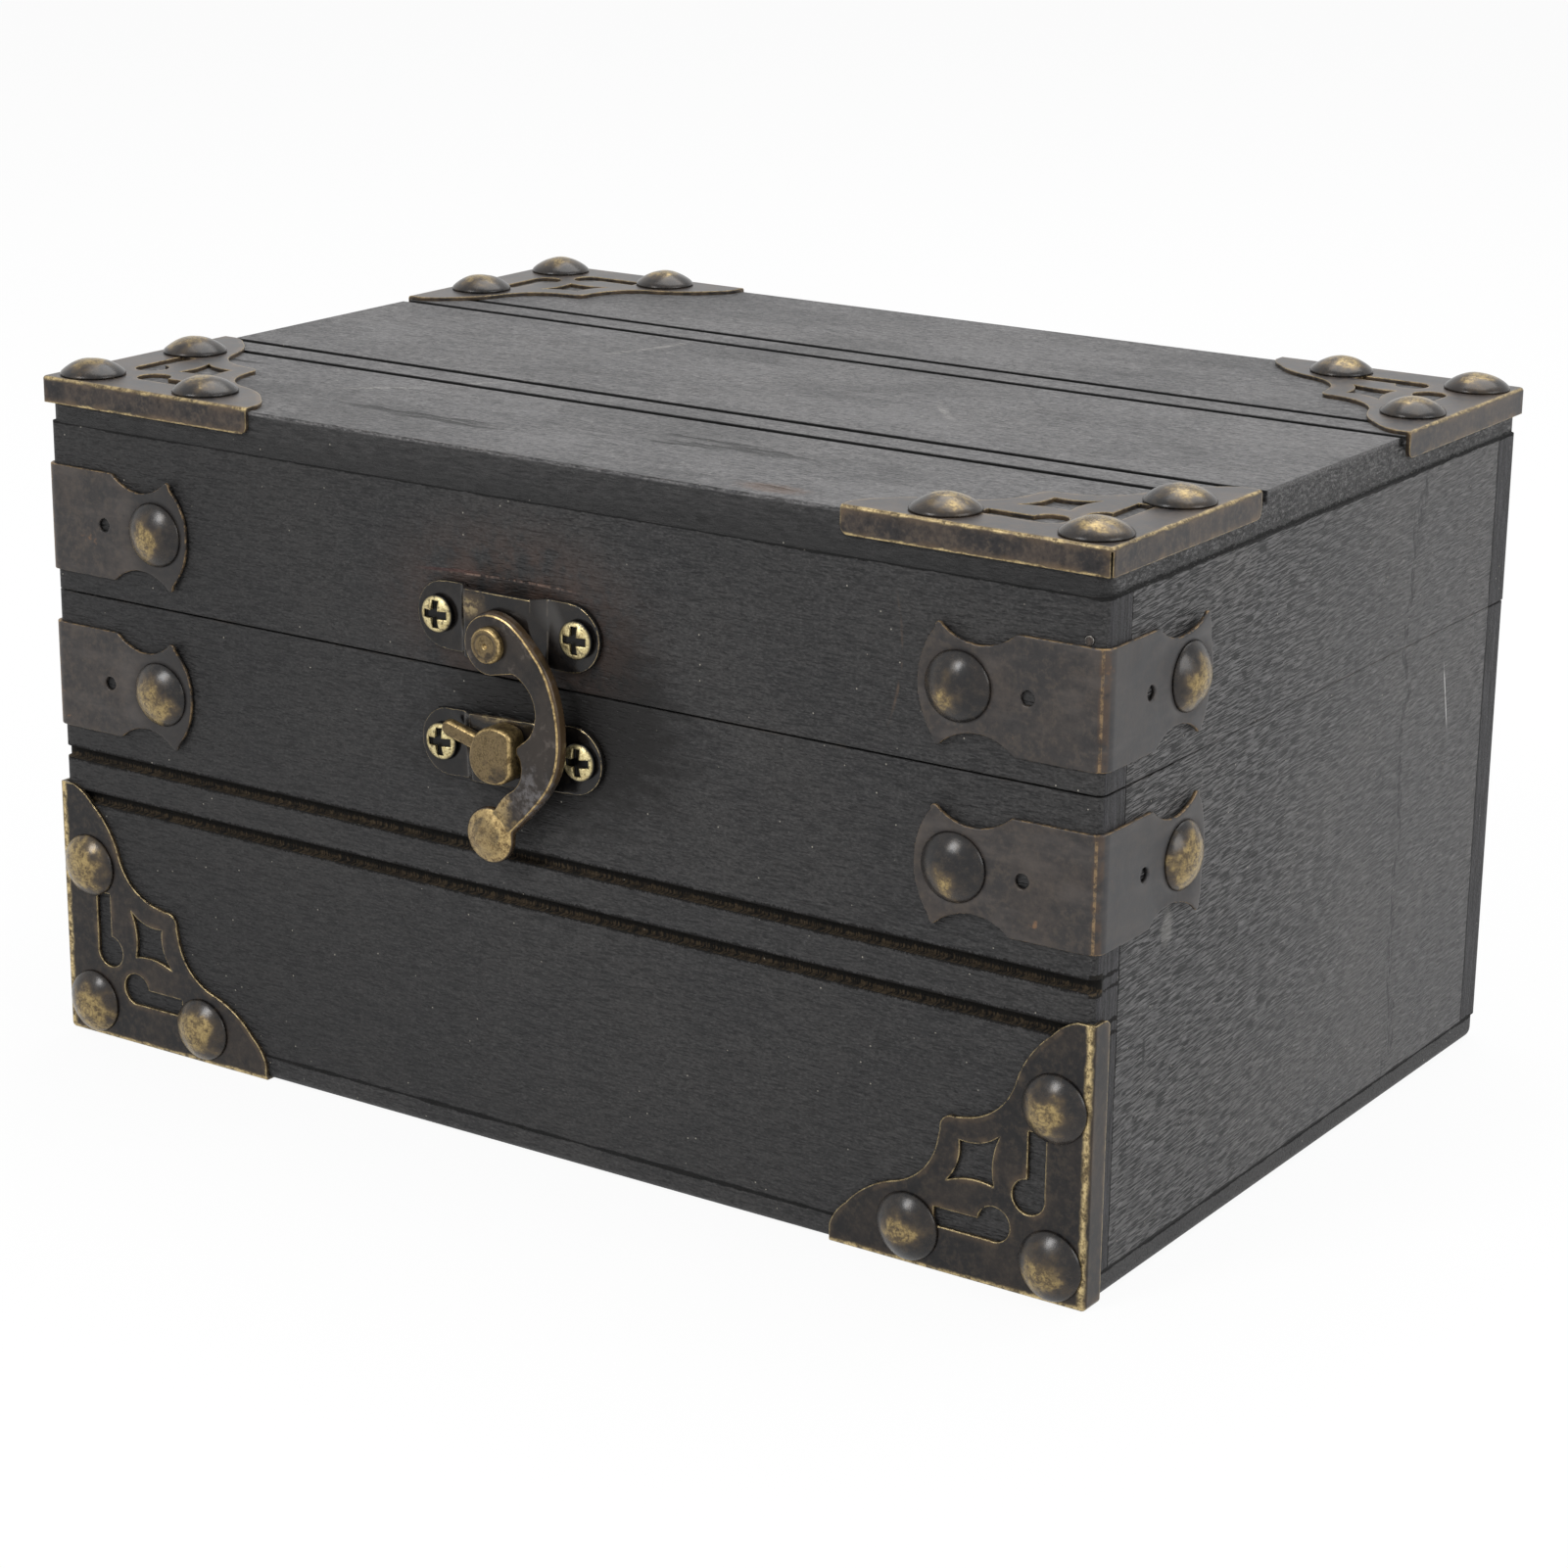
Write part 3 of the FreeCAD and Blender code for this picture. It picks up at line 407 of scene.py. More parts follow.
def near_latch(n, color, rough, height):
    """Warm rub and scratches around the latch, and end grain at the sides."""
    color = latch_dirt_and_shade(n, painted_shade_left(n, end_strip(n, color)))
    at_front = on_front(n)
    cloud = n.noise(n.pos, 0.25, 4.0, 0.7)
    broken = n.noise(n.stretch(n.pos, 0.8, 0.2, 0.2), 1.0, 3.0, 0.7)
    around = n.spot(n.x, n.z, (-3.0, 80.0), (30.0, 18.0), n.minus(cloud, 0.5))
    color = n.tint(color, (78, 58, 48), n.times(at_front, around, 0.55), n.step(cloud, 0.35, 0.7))

    bow = n.plus(n.z, n.times(n.x, n.x, 0.0025))
    scratch = n.times(n.near(bow, 84.6, 0.22), n.spot(n.x, n.z, (-4.0, 84.5), (15.0, 6.0)),
                      n.step(broken, 0.42, 0.6), at_front)
    color = n.tint(color, (150, 124, 110), scratch, 0.5)
    red = n.times(n.near(bow, 84.9, 0.3), n.spot(n.x, n.z, (-14.0, 84.5), (7.0, 4.0)), at_front)
    color = n.tint(color, (110, 52, 44), red, 0.15)
    curve = n.length(n.minus(n.x, 30.0), n.minus(n.z, 85.0))
    arc = n.times(n.near(curve, 30.0, 0.25), n.spot(n.x, n.z, (60.0, 83.0), (6.0, 11.0)),
                  n.step(broken, 0.4, 0.6), at_front)
    color = n.tint(color, (96, 78, 64), arc, 0.5)
    return color, rough, n.minus(height, n.times(scratch, 0.8))


def plain_rail(n, color, rough, height):
    return end_strip(n, color), rough, height


# Cracks in the lid board: place across the grain, then middle and half size of the stretch
CRACKS = ((-38.6, (14, -39), (11, 4)), (-40.2, (25, -40), (10, 4)), (-41.6, (18, -41.5), (13, 4)),
          (-43.2, (12, -43), (8, 4)), (-49.0, (-30, -49), (19, 5)), (-50.8, (-24, -51), (12, 4)),
          (-57.6, (37, -57.5), (4.5, 3)), (-34.0, (-78, -34), (8, 3)))
# Pale scratches on it: middle and radius of the arc, then middle and half size of the stretch
PALE_ARCS = (((-20, -70), 42.0, (-46.0, -38.0), (9.0, 7.0)),
             ((10, -60), 58.0, (-34.0, -24.0), (10.0, 8.0)),
             ((80, 40), 66.0, (26.0, -4.0), (12.0, 9.0)),
             ((-90, 30), 60.0, (-34.0, 12.0), (8.0, 12.0)))


def board_top(n, color, top):
    """Streaks, haze, grit and pale scratches on the upper face of the lid board, and its cracks."""
    broken = n.noise(n.stretch(n.pos, 0.35, 1.6, 1.0), 1.0, 4.0, 0.75)
    wobble = n.swing(n.noise(n.stretch(n.pos, 0.11, 0.25, 1.0), 1.0, 3.0, 0.6), 5.0)
    line = n.plus(n.y, wobble)
    crack = n.most(*(n.times(n.near(line, at, 0.85), n.spot(n.x, n.y, spot, size),
                             n.step(broken, 0.36, 0.44)) for at, spot, size in CRACKS))
    crack = n.times(crack, top)
    arcs = []
    for mid, radius, spot, size in PALE_ARCS:
        away = n.length(n.minus(n.x, mid[0]), n.minus(n.y, mid[1]))
        arcs.append(n.times(n.near(away, radius, 0.9), n.spot(n.x, n.y, spot, size),
                            n.step(broken, 0.42, 0.6)))

    lines = n.noise(n.stretch(n.pos, 0.04, 0.6, 1.0), 1.0, 4.0, 0.7)
    color = n.tint(color, (30, 30, 31), top, n.step(lines, 0.5, 0.72), 0.4)
    color = n.tint(color, (100, 99, 99), top, n.step(lines, 0.5, 0.3), 0.3)
    haze = n.noise(n.stretch(n.pos, 0.03, 0.05, 1.0), 1.0, 4.0, 0.62)
    color = n.tint(color, (34, 34, 35), top, n.step(haze, 0.52, 0.36), 0.5)
    color = n.tint(color, (100, 99, 99), top, n.step(haze, 0.52, 0.68), 0.45)
    grit = n.noise(n.stretch(n.pos, 1.0, 0.7, 1.0), 1.2, 3.0, 0.75)
    color = n.tint(color, (28, 28, 28), top, n.step(grit, 0.53, 0.66), 0.45)
    color = n.tint(color, (118, 116, 115), top, n.step(grit, 0.47, 0.34), 0.3)
    color = n.tint(color, (160, 157, 152), n.most(*arcs), top, 0.45)
    return n.tint(color, (10, 10, 10), crack, 0.9), crack


def board_rim(n, color, rough, rim, fuzz):
    """Torn darker edge of the lid board, crumbling most at its two ends."""
    hard = n.noise(n.stretch(n.pos, 1.0, 1.0, 2.4), 1.0, 3.0, 0.7)
    torn = n.noise(n.stretch(n.pos, 0.3, 0.6, 2.0), 1.0, 4.0, 0.8)
    crumb = n.noise(n.stretch(n.pos, 0.6, 0.6, 1.5), 1.6, 4.0, 0.8)
    to_side = n.step(n.absolute(n.x), HALF_W - 0.5, HALF_W)
    low = n.step(n.plus(n.z, n.swing(fuzz, 5.0)), BOARD_TOP - 2.5, BOARD_TOP - 5.5)
    high = n.near(n.z, BOARD_TOP - 0.7, 1.2)

    flat = n.mix(n.step(torn, 0.38, 0.64), rgb(10, 10, 11), rgb(48, 47, 47))
    color = n.mix(n.times(rim, n.between(to_side, 0.9, 0.5)), color, flat)
    color = n.tint(color, (12, 12, 12), rim, low, 0.5)
    color = n.tint(color, (112, 111, 110), rim, high, n.step(crumb, 0.54, 0.62), 0.35)
    color = n.tint(color, (96, 95, 94), rim, to_side, n.step(hard, 0.5, 0.66), 0.45)
    color = n.tint(color, (112, 111, 110), rim, n.step(crumb, 0.46, 0.36), to_side, 0.75)
    color = n.tint(color, (8, 8, 8), rim, n.step(crumb, 0.49, 0.56),
                   n.between(to_side, 0.3, 0.9))
    joint = n.near(n.plus(n.z, n.swing(crumb, 2.6)), LID_Z + 0.1, 0.6)
    joint = n.times(joint, to_side, 0.95)
    color = n.tint(color, (3, 3, 3), joint)
    knot = n.spot(n.x, n.z, (28.6, 97.6), (1.5, 0.9))
    return n.tint(color, (6, 6, 6), knot, rim, 0.9), n.between(joint, rough, 1.0)


def grooved_board(n, color, rough, height):
    """Dark grooves, dents and scratches on the lid board."""
    half_groove = 0.8
    top = n.step(n.z, BOARD_TOP - 0.12, BOARD_TOP - 0.02)
    rim = n.step(n.z, BOARD_TOP - 0.3, BOARD_TOP - 0.7)
    rows = n.most(*(n.near(n.y, y, 1.4) for y in LID_GROOVES))
    inside = groove_floor(n, n.z, BOARD_TOP, -1, rows)
    fringe = n.swing(n.noise(n.stretch(n.pos, 1.6, 2.0, 2.0), 1.0, 3.0, 0.7), 0.9)
    edge = n.times(top, n.most(*(n.near(n.y, y + side, 0.2, fringe)
                                 for y in LID_GROOVES for side in (-half_groove, half_groove))))
    color = n.tint(color, (5, 5, 5), n.most(n.times(edge, 0.8), inside))
    rough = n.between(inside, rough, 0.95)
    color, crack = board_top(n, color, top)
    fuzz = n.noise(n.stretch(n.pos, 0.8, 0.8, 2.0), 1.0, 4.0, 0.8)
    brown = n.spot(n.x, n.y, (37.0, -58.0), (7.0, 3.0), n.minus(fuzz, 0.5))
    color = n.tint(color, (86, 62, 44), brown, top, 0.5)
    height = n.minus(height, n.times(crack, 2.5))
    color, rough = board_rim(n, color, rough, rim, fuzz)
    return color, rough, n.plus(height, n.times(rim, fuzz, 3.5))


def side_marks(n, color, rough, height):
    """Scratch, knots, a dusty patch and a dark vein on the sides."""
    broken = n.noise(n.stretch(n.pos, 0.2, 0.6, 0.3), 1.0, 3.0, 0.7)
    ragged = n.minus(broken, 0.5)
    right = n.step(n.x, 0.0, 1.0)
    lean = n.plus(n.y, n.times(n.z, 0.24))
    scratch = n.times(n.near(lean, 56.5, 0.22), n.spot(n.y, n.z, (42.0, 59.5), (4.0, 7.0)),
                      n.step(broken, 0.35, 0.55))
    color = n.tint(color, (190, 188, 186), scratch, right, 0.75)
    vein_at = n.plus(n.y, n.swing(n.noise(n.pos, 0.06, 3.0, 0.6), 16.0))
    vein = n.times(n.near(vein_at, 28.0, 1.3), n.step(broken, 0.42, 0.62), 0.7)
    color = n.tint(color, (24, 24, 26), vein)
    knots = n.most(n.spot(n.y, n.z, (-38.6, 40.7), (2.8, 0.8), ragged),
                   n.spot(n.y, n.z, (-18.5, 51.3), (1.8, 0.6), ragged),
                   n.spot(n.y, n.z, (-48.2, 32.0), (0.5, 2.6), ragged))
    color = n.tint(color, (8, 8, 9), knots, right, 0.9)
    dusty = n.spot(n.y, n.z, (-43.2, 47.8), (2.0, 3.4), ragged)
    color = n.tint(color, (128, 126, 122), dusty, right, 0.45)
    return color, rough, n.minus(height, n.times(vein, 1.0))


to_lid, to_bottom = ("z", LID_Z), ("z", BOTTOM_Z)
to_ends = (("y", -HALF_D + WALL), ("y", HALF_D - WALL))
# The tones below are painted light: the front boards are painted a little darker and the sides and
# lid board lighter, as lit and shaded copies of one stain.
front_wood = wood("stained_wood_front", "x", tone=0.93, pores=0.95, seams=(to_bottom, to_lid),
                  extra=grooved_front)
lid_front_wood = wood("stained_wood_lid_front", "x", tone=0.94, pores=0.9, seams=(to_lid,),
                      extra=near_latch)
rail_wood = wood("stained_wood_backs", "x", seams=(to_lid, to_bottom), extra=plain_rail)
side_wood = wood("stained_wood_sides", "y", wave=0.04, tone=1.36, pores=2.2,
                 seams=(*to_ends, to_bottom, to_lid), extra=side_marks, shine=0.4)
board_wood = wood("stained_wood_board", "x", wave=0.25, tone=1.71, extra=grooved_board,
                  shine=0.36, clouds=0.15)
bottom_wood = wood("stained_wood_bottom", "x", seams=(to_bottom,))


def strap_look(n, color, worn, height):
    """Broad brown rub on the middle of the strap, small rusty spots and a rubbed fold."""
    front_only = n.step(n.y, -61.9, -62.2)
    smear = n.noise(n.stretch(n.pos, 0.10, 0.10, 0.35), 1.0, 3.0, 0.6)
    color = n.tint(color, (58, 56, 55), 0.5)
    color = n.tint(color, (84, 78, 74), n.step(smear, 0.45, 0.72, 0.0, 0.5))
    # Painted light: the side leg is tinted a paler, bluer grey than the front leg.
    color = n.tint(color, (62, 63, 65), n.step(n.y, -61.9, -61.5), 0.45)
    left_end = n.times(n.step(n.x, -76.0, -70.0), n.step(n.x, 0.0, -1.0), 0.7)
    color = n.tint(color, (42, 41, 41), left_end)
    rust = n.step(n.noise(n.pos, 0.2, 3.0, 0.7), 0.68, 0.74)
    color = n.tint(color, (140, 104, 72), n.times(rust, n.step(n.grime, 0.45, 0.6)), 0.5)

    across = n.absolute(n.x)
    facing = n.between(front_only, n.sideways, n.facing)
    rim = n.times(n.step(facing, 0.9, 0.75), n.step(n.grime, 0.42, 0.54, 0.1, 1.0))
    hole = n.most(n.near(across, OUT_X - STRAP_HOLE, 3.6), n.near(n.y, OUT_FRONT + STRAP_HOLE, 3.6))
    off_middle = n.math("MINIMUM", *(n.absolute(n.minus(n.z, mid)) for mid in STRAP_Z.values()))
    inner = n.times(hole, n.step(n.upright, 0.995, 0.99), n.step(off_middle, 3.2, 2.6))
    rim = n.times(rim, n.inverse(inner))
    at_fold = n.times(n.step(across, 89.0, 89.4), n.step(n.y, -61.3, -61.7))
    fold = n.times(n.step(n.facing, 0.93, 0.89), n.step(n.facing, 0.78, 0.83),
                   n.step(n.grime, 0.36, 0.58, 0.1, 0.55))
    fold = n.most(fold, n.times(rim, n.step(n.upright, 0.3, 0.5)))
    color = n.tint(color, (84, 66, 52), n.times(at_fold, n.step(n.blotch, 0.4, 0.6)), 0.45)
    return color, n.between(at_fold, n.times(rim, 0.6), fold), height


def nail_look(n, color, worn, height):
    """Rubbed patch on each head, with the turned rings and punch mark in its middle."""
    across, up = n.marked("nail")[:2]
    rub_across, rub_up, reach = n.marked("rub")
    away = n.length(n.minus(across, rub_across), n.minus(up, rub_up))
    ring = n.math("SINE", n.times(away, 11.0))
    close = n.step(away, 2.6, 1.0)
    beyond = n.minus(n.plus(n.plus(away, n.swing(n.blotch, 7.0)), n.swing(n.grime, 2.5)), reach)
    color = n.tint(color, (80, 67, 50), n.step(beyond, 1.0, -1.4), 0.8)
    gold = n.times(n.step(beyond, -0.4, -2.0), n.step(n.grime, 0.36, 0.56, 0.35, 0.85))
    gold = n.times(gold, n.inverse(n.times(close, n.step(ring, 0.2, 0.95), 0.5)))
    height = n.plus(height, n.times(close, ring, 0.25))
    height = n.minus(height, n.times(n.step(away, 0.5, 0.2), 1.2))
    return color, n.most(n.times(worn, 0.7), gold), height


def plate_look(n, color, worn, height):
    """Thin bright line inside the outline, a painted highlight on the bridge's ramp, and a soft rub
    on top of the bridge.
    """
    off_middle = n.absolute(n.plus(n.x, 3.4))
    outline = n.most(n.step(n.upright, 0.15, 0.3), n.step(off_middle, 9.0, 11.0))
    line = n.times(n.bevel, outline, n.step(n.grime, 0.36, 0.5), n.between(n.outward, 0.45, 1.0),
                   0.9)
    bends = n.times(n.bevel, n.step(n.blotch, 0.45, 0.6))
    color = n.tint(color, (86, 78, 68), bends, 0.6)
    # Painted highlight: a lighter slanted band on the right-hand ramp of the bridge.
    slant, ramp_highlight_at = -0.35, (4.3, 81.0)
    slanted = n.minus(n.x, n.times(n.z, slant))
    painted_ramp_highlight = n.spot(slanted, n.z, (ramp_highlight_at[0] - slant * ramp_highlight_at[1], 80.0), (2.2, 5.0))
    color = n.tint(color, (84, 82, 80), painted_ramp_highlight, 0.4)
    high = n.step(n.y, -HALF_D - 1.0, -HALF_D - 2.1)
    ragged = n.swing(n.grime, 2.0)
    upper = n.times(high, n.spot(n.x, n.z, (-8.4, 80.6), (3.6, 2.4), ragged), 0.6)
    lower = n.times(high, n.spot(n.x, n.z, (-5.0, 65.2), (5.5, 1.4), ragged), 0.5)
    rub = n.most(upper, lower)
    color = n.tint(color, (84, 70, 52), rub)
    return color, n.most(line, n.times(rub, n.step(n.grime, 0.46, 0.62), 0.8)), height


def arm_look(n, color, worn, height):
    """Bright line along the outer edge, brass tail and ball, and a painted highlight low on the
    arm.
    """
    front = n.step(n.y, -HALF_D - 3.7, -HALF_D - 4.3)
    ragged = n.swing(n.blotch, 3.0)
    color = n.tint(color, (50, 43, 37), n.step(n.patch, 0.3, 0.65, 0.3, 0.7))
    outer = n.times(n.step(n.facing, 0.985, 0.95), n.step(n.facing, 0.72, 0.82))
    line = n.times(n.between(n.outward, n.times(n.bevel, 0.75), outer), front,
                   n.step(n.grime, 0.3, 0.44, 0.35, 1.0))
    slope = n.times(n.step(n.facing, 0.9, 0.75), n.outward)
    color = n.tint(color, (84, 66, 44), slope, 0.7)

    tail = n.spot(n.x, n.z, (-4.2, 47.6), (8.5, 8.5), ragged)
    crescent = n.spot(n.x, n.z, (-7.4, 51.6), (3.4, 2.6), n.times(ragged, 0.4))
    bare = n.times(tail, n.inverse(crescent), n.step(n.blotch, 0.36, 0.64, 0.85, 0.4),
                   n.step(n.grime, 0.34, 0.6, 1.0, 0.7), n.step(n.facing, 0.5, 0.9))
    ball = n.spot(n.x, n.z, BALL_AT, (5.2, 5.2), n.times(ragged, 0.15))
    ball_rim = n.times(n.step(ball, 0.55, 0.12), n.step(n.z, 53.5, 51.5), 0.55)
    bare = n.times(bare, n.inverse(ball_rim))

    # Painted highlight: a pale grey sheen on the lower part of the arm.
    painted_highlight = n.spot(n.x, n.z, (3.5, 55.5), (5.0, 5.0), ragged)
    color = n.tint(color, (98, 95, 95), n.times(painted_highlight, n.step(n.grime, 0.4, 0.6)), 0.8)
    color = n.tint(color, (92, 84, 78), n.step(n.blotch, 0.52, 0.64), n.step(n.grime, 0.46, 0.58),
                   0.5)
    color = n.tint(color, (20, 18, 17), n.step(n.patch, 0.56, 0.42), n.step(n.blotch, 0.60, 0.45),
                   0.55)
    return color, n.most(line, bare), height


def catch_look(n, color, worn, height):
    """Brass all over, browner on the flat top and dark in the corners."""
    flat = n.step(n.facing, 0.9, 0.97)
    dirt = n.most(n.times(n.step(n.blotch, 0.50, 0.62), 0.8),
                  n.times(flat, n.step(n.grime, 0.36, 0.62, 0.4, 0.7)))
    color = n.mix(n.step(n.grime, 0.4, 0.6), rgb(36, 30, 23), rgb(76, 62, 42))
    away = n.length(n.minus(n.x, RIVET_AT[0]), n.minus(n.z, RIVET_AT[1]))
    ring = n.most(n.near(away, 1.75, 0.22), n.step(away, 0.42, 0.25))
    shown = n.times(n.minus(0.9, dirt), n.inverse(n.times(ring, 0.7)))
    # Rubbed brass and painted highlight: the rounded rims are shown bright.
    turned = n.times(n.step(n.facing, 0.96, 0.88), n.step(n.facing, 0.5, 0.7))
    shown = n.most(shown, n.times(turned, n.step(n.grime, 0.34, 0.5, 0.3, 1.0)))
    stain = n.spot(n.x, n.z, CATCH_AT, (1.9, 2.2), n.swing(n.blotch, 2.0))
    shown = n.times(shown, n.inverse(n.times(stain, flat, 0.75)))
    return color, shown, n.minus(height, n.times(ring, 1.5))


def screw_look(n, color, worn, height):
    """Bright brass head with a few nicks; its recess and the side of the head are painted black as
    shade.
    """
    nick = n.step(n.noise(n.pos, 1.6, 3.0, 0.7), 0.54, 0.62)
    # Painted shade: black where the head sinks below its top, in the recess and down its side.
    painted_recess_shade = n.step(n.y, -HALF_D - 1.62, -HALF_D - 1.4)
    color = n.mix(painted_recess_shade, rgb(60, 50, 34), rgb(6, 6, 6))
    return color, n.times(n.inverse(n.times(nick, 0.7)), n.inverse(painted_recess_shade)), height


lid_folds = ((0.5, (("x", OUT_X - 0.1), ("z", PLATE_Z))), (0.6, (("y", OUT_FRONT), ("z", PLATE_Z))),
             (0.5, (("y", OUT_BACK), ("z", PLATE_Z))),
             (0.35, (("y", OUT_FRONT), ("z", PLATE_Z - 3.9))))
base_folds = ((0.75, (("x", OUT_X - 0.7), ("y", OUT_FRONT))), (0.6, (("z", 0.3), ("y", OUT_FRONT))))
strap_folds = ((0.26, (("x", OUT_X - 0.5), ("y", OUT_FRONT + 0.05))),)
lid_sheet = metal("bronze_lid_brackets", lines=lid_folds)
base_sheet = metal("bronze_base_brackets", lines=base_folds, edge_worn=1.0, dark=0.72, halo=0.65,
                   edge=0.45, brass=((126, 108, 74), (214, 192, 142)))
strap_sheet = metal("bronze_straps", lines=strap_folds, extra=strap_look, shine=0.4, halo=0.35,
                    dark=1.08, brass=((88, 72, 54), (162, 136, 100)))
plate_metal = metal("bronze_latch_plates", shine=0.2, extra=plate_look, halo=0, dark=0.45,
                    gloss=0.4)
arm_metal = metal("bronze_arm", shine=0.25, extra=arm_look, halo=0, dark=0.6, gloss=0.36,
                  brass=((112, 92, 62), (198, 172, 120)))
knob_metal = metal("brass_catch", shine=0.32, extra=catch_look, halo=0,
                   brass=((104, 86, 56), (182, 158, 110)))
screw_metal = metal("brass_screws", shine=0.3, extra=screw_look, halo=0,
                    brass=((168, 150, 104), (226, 212, 162)))
nail_metal = metal("bronze_nails", shine=0.26, extra=nail_look, halo=0, dark=0.66, gloss=0.46,
                   brass=((104, 88, 60), (176, 154, 106)))
hinge_metal = metal("bronze_hinges", shine=0.4, halo=0)
wire_metal = metal("steel_wire", shine=0.36, halo=0, brass=((120, 118, 114), (176, 172, 166)))

NAMED_LOOKS = {
    "base_front_panel": front_wood, "base_back_panel": rail_wood, "bottom_panel": bottom_wood,
    "base_left_panel": side_wood, "base_right_panel": side_wood,
    "lid_top_board": board_wood, "lid_front_rail": lid_front_wood, "lid_back_rail": rail_wood,
    "lid_left_rail": side_wood, "lid_right_rail": side_wood,
    "latch_upper_plate": plate_metal, "latch_lower_plate": plate_metal,
    "latch_upper_screws": screw_metal, "latch_lower_screws": screw_metal,
    "latch_swing_arm": arm_metal, "latch_catch": knob_metal, "latch_rivet": knob_metal,
    "lid_rail_brad": wire_metal,
}


def look_for(name):
    if name.endswith("corner_strap"):
        return strap_sheet
    if name.endswith("bracket"):
        return base_sheet if name.startswith("base") else lid_sheet
    return NAMED_LOOKS.get(name, hinge_metal)


looks = {name: look_for(name) for name in nodes}
for name, look in looks.items():
    for slot in nodes[name].material_slots:
        slot.material = look


def ridden(name, mesh, look, body, stands_for):
    """An object that rides on a body in place of a node, with one look."""
    mesh.materials.clear()
    mesh.materials.append(look)
    made = bpy.data.objects.new(name, mesh)
    bpy.context.scene.collection.objects.link(made)
    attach(made, body)
    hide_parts(stands_for)
    return made


def smooth_faces(mesh):
    for face in mesh.polygons:
        face.use_smooth = True


def smooth(value, low, high):
    """0 at low, 1 at high, eased between."""
    t = max(0.0, min(1.0, (value - low) / (high - low)))
    return t * t * (3 - 2 * t)


def softened(name, node, voxel, rounds, shape=None):
    """A solid with its edges softened as on cast or stamped metal, eased by a function."""
    solid = nodes[node]
    work = bpy.data.objects.new(name + "_work", solid.data.copy())
    bpy.context.scene.collection.objects.link(work)
    remesh = work.modifiers.new("voxels", "REMESH")
    remesh.mode = "VOXEL"
    remesh.voxel_size = voxel / MM
    ease = work.modifiers.new("ease", "SMOOTH")
    ease.factor = 0.5
    ease.iterations = rounds
    graph = bpy.context.evaluated_depsgraph_get()
    mesh = bpy.data.meshes.new_from_object(work.evaluated_get(graph), depsgraph=graph)
    bpy.data.objects.remove(work)
    if shape is not None:
        for vertex in mesh.vertices:
            vertex.co = shape(vertex.co * MM) / MM
    smooth_faces(mesh)
    ridden(name, mesh, looks[node], solid["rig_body"], node)


def strap_shape(mid, lifts):
    """Lifts the pointed ends of a strap: front up, front down, side up, side down."""
    def moved(p):
        up = p.z - mid
        side = 1 if p.x > 0 else -1
        on_front_leg = p.y < -60.5 and abs(p.x) < 88
        on_side_leg = abs(p.x) > 88.5 and p.y > -60
        if not (on_front_leg or on_side_leg):
            return p
        along = OUT_X - abs(p.x) if on_front_leg else p.y - OUT_FRONT
        lift = lifts[(0 if on_front_leg else 2) + (0 if up > 0 else 1)]
        rise = lift * smooth(abs(up), 3.2, 8.0) * smooth(along, 15.0, 24.0)
        from_nail = math.hypot(along - STRAP_NAIL, up)
        rise += 0.16 * smooth(from_nail, 4.5, 5.6) * (1 - smooth(from_nail, 5.6, 9.0))
        dent = noise.noise(Vector((along * 0.22, up * 0.22, mid + side)))
        rise += 0.10 * (dent + 0.3) * smooth(along, 3.0, 8.0)
        rise = max(rise, 0.0)
        return p + (Vector((0, -rise, 0)) if on_front_leg else Vector((side * rise, 0, 0)))
    return moved


STRAP_LIFTS = {"lid": (0.5, 0.35, 0.9, 0.3), "base": (0.6, 0.4, 0.5, 1.0)}
for side in ("right", "left"):
    for body, mid in STRAP_Z.items():
        softened(f"{body}_{side}_strap_sheet", f"{body}_{side}_corner_strap",
                 0.2, 3, strap_shape(mid, STRAP_LIFTS[body]))


def closing_gap(side):
    """A side panel of the base whose top edge comes up to the lid behind the straps."""
    rise, cuts, start, end = 0.22, (-46.0, -30.0), -45.0, -31.0
    node = f"base_{side}_panel"
    mesh = nodes[node].data.copy()
    work = bmesh.new()
    work.from_mesh(mesh)
    for place in cuts:
        bmesh.ops.bisect_plane(work, geom=work.verts[:] + work.edges[:] + work.faces[:],
                               plane_co=(0, place / MM, 0), plane_no=(0, 1, 0))
    for vertex in work.verts:
        if vertex.co.z * MM > SPLIT_Z - 0.01:
            vertex.co.z += rise / MM * smooth(vertex.co.y * MM, start, end)
    work.to_mesh(mesh)
    work.free()
    ridden(f"base_{side}_side_board", mesh, looks[node], "base", node)


def plate_shape(screws):
    """Dishes a latch plate around its screws and dents it a little."""
    def moved(p):
        if p.y > -HALF_D - 0.5:
            return p
        sink = sum(0.18 * (1 - smooth(math.hypot(p.x - x, p.z - z), 2.6, 4.6)) for x, z in screws)
        dent = 0.07 * noise.noise(Vector((p.x * 0.35, p.z * 0.35, 3)))
        return p + Vector((0, sink + dent, 0))
    return moved


def arm_shape(p):
    """Uneven surface of a cast arm."""
    dent = (0.08 * noise.noise(Vector((p.x * 0.3, p.z * 0.3, 9)))
            + 0.03 * noise.noise(Vector((p.x, p.z, 4))))
    return p + Vector((0, dent, 0)) if p.y < -HALF_D - 4.2 else p


closing_gap("left")
closing_gap("right")
softened("latch_arm_casting", "latch_swing_arm", 0.15, 22, arm_shape)
softened("latch_catch_casting", "latch_catch", 0.14, 24)
softened("latch_upper_plate_pressing", "latch_upper_plate", 0.15, 12,
         plate_shape(UPPER_SCREWS))
softened("latch_lower_plate_pressing", "latch_lower_plate", 0.15, 12,
         plate_shape(LOWER_SCREWS))

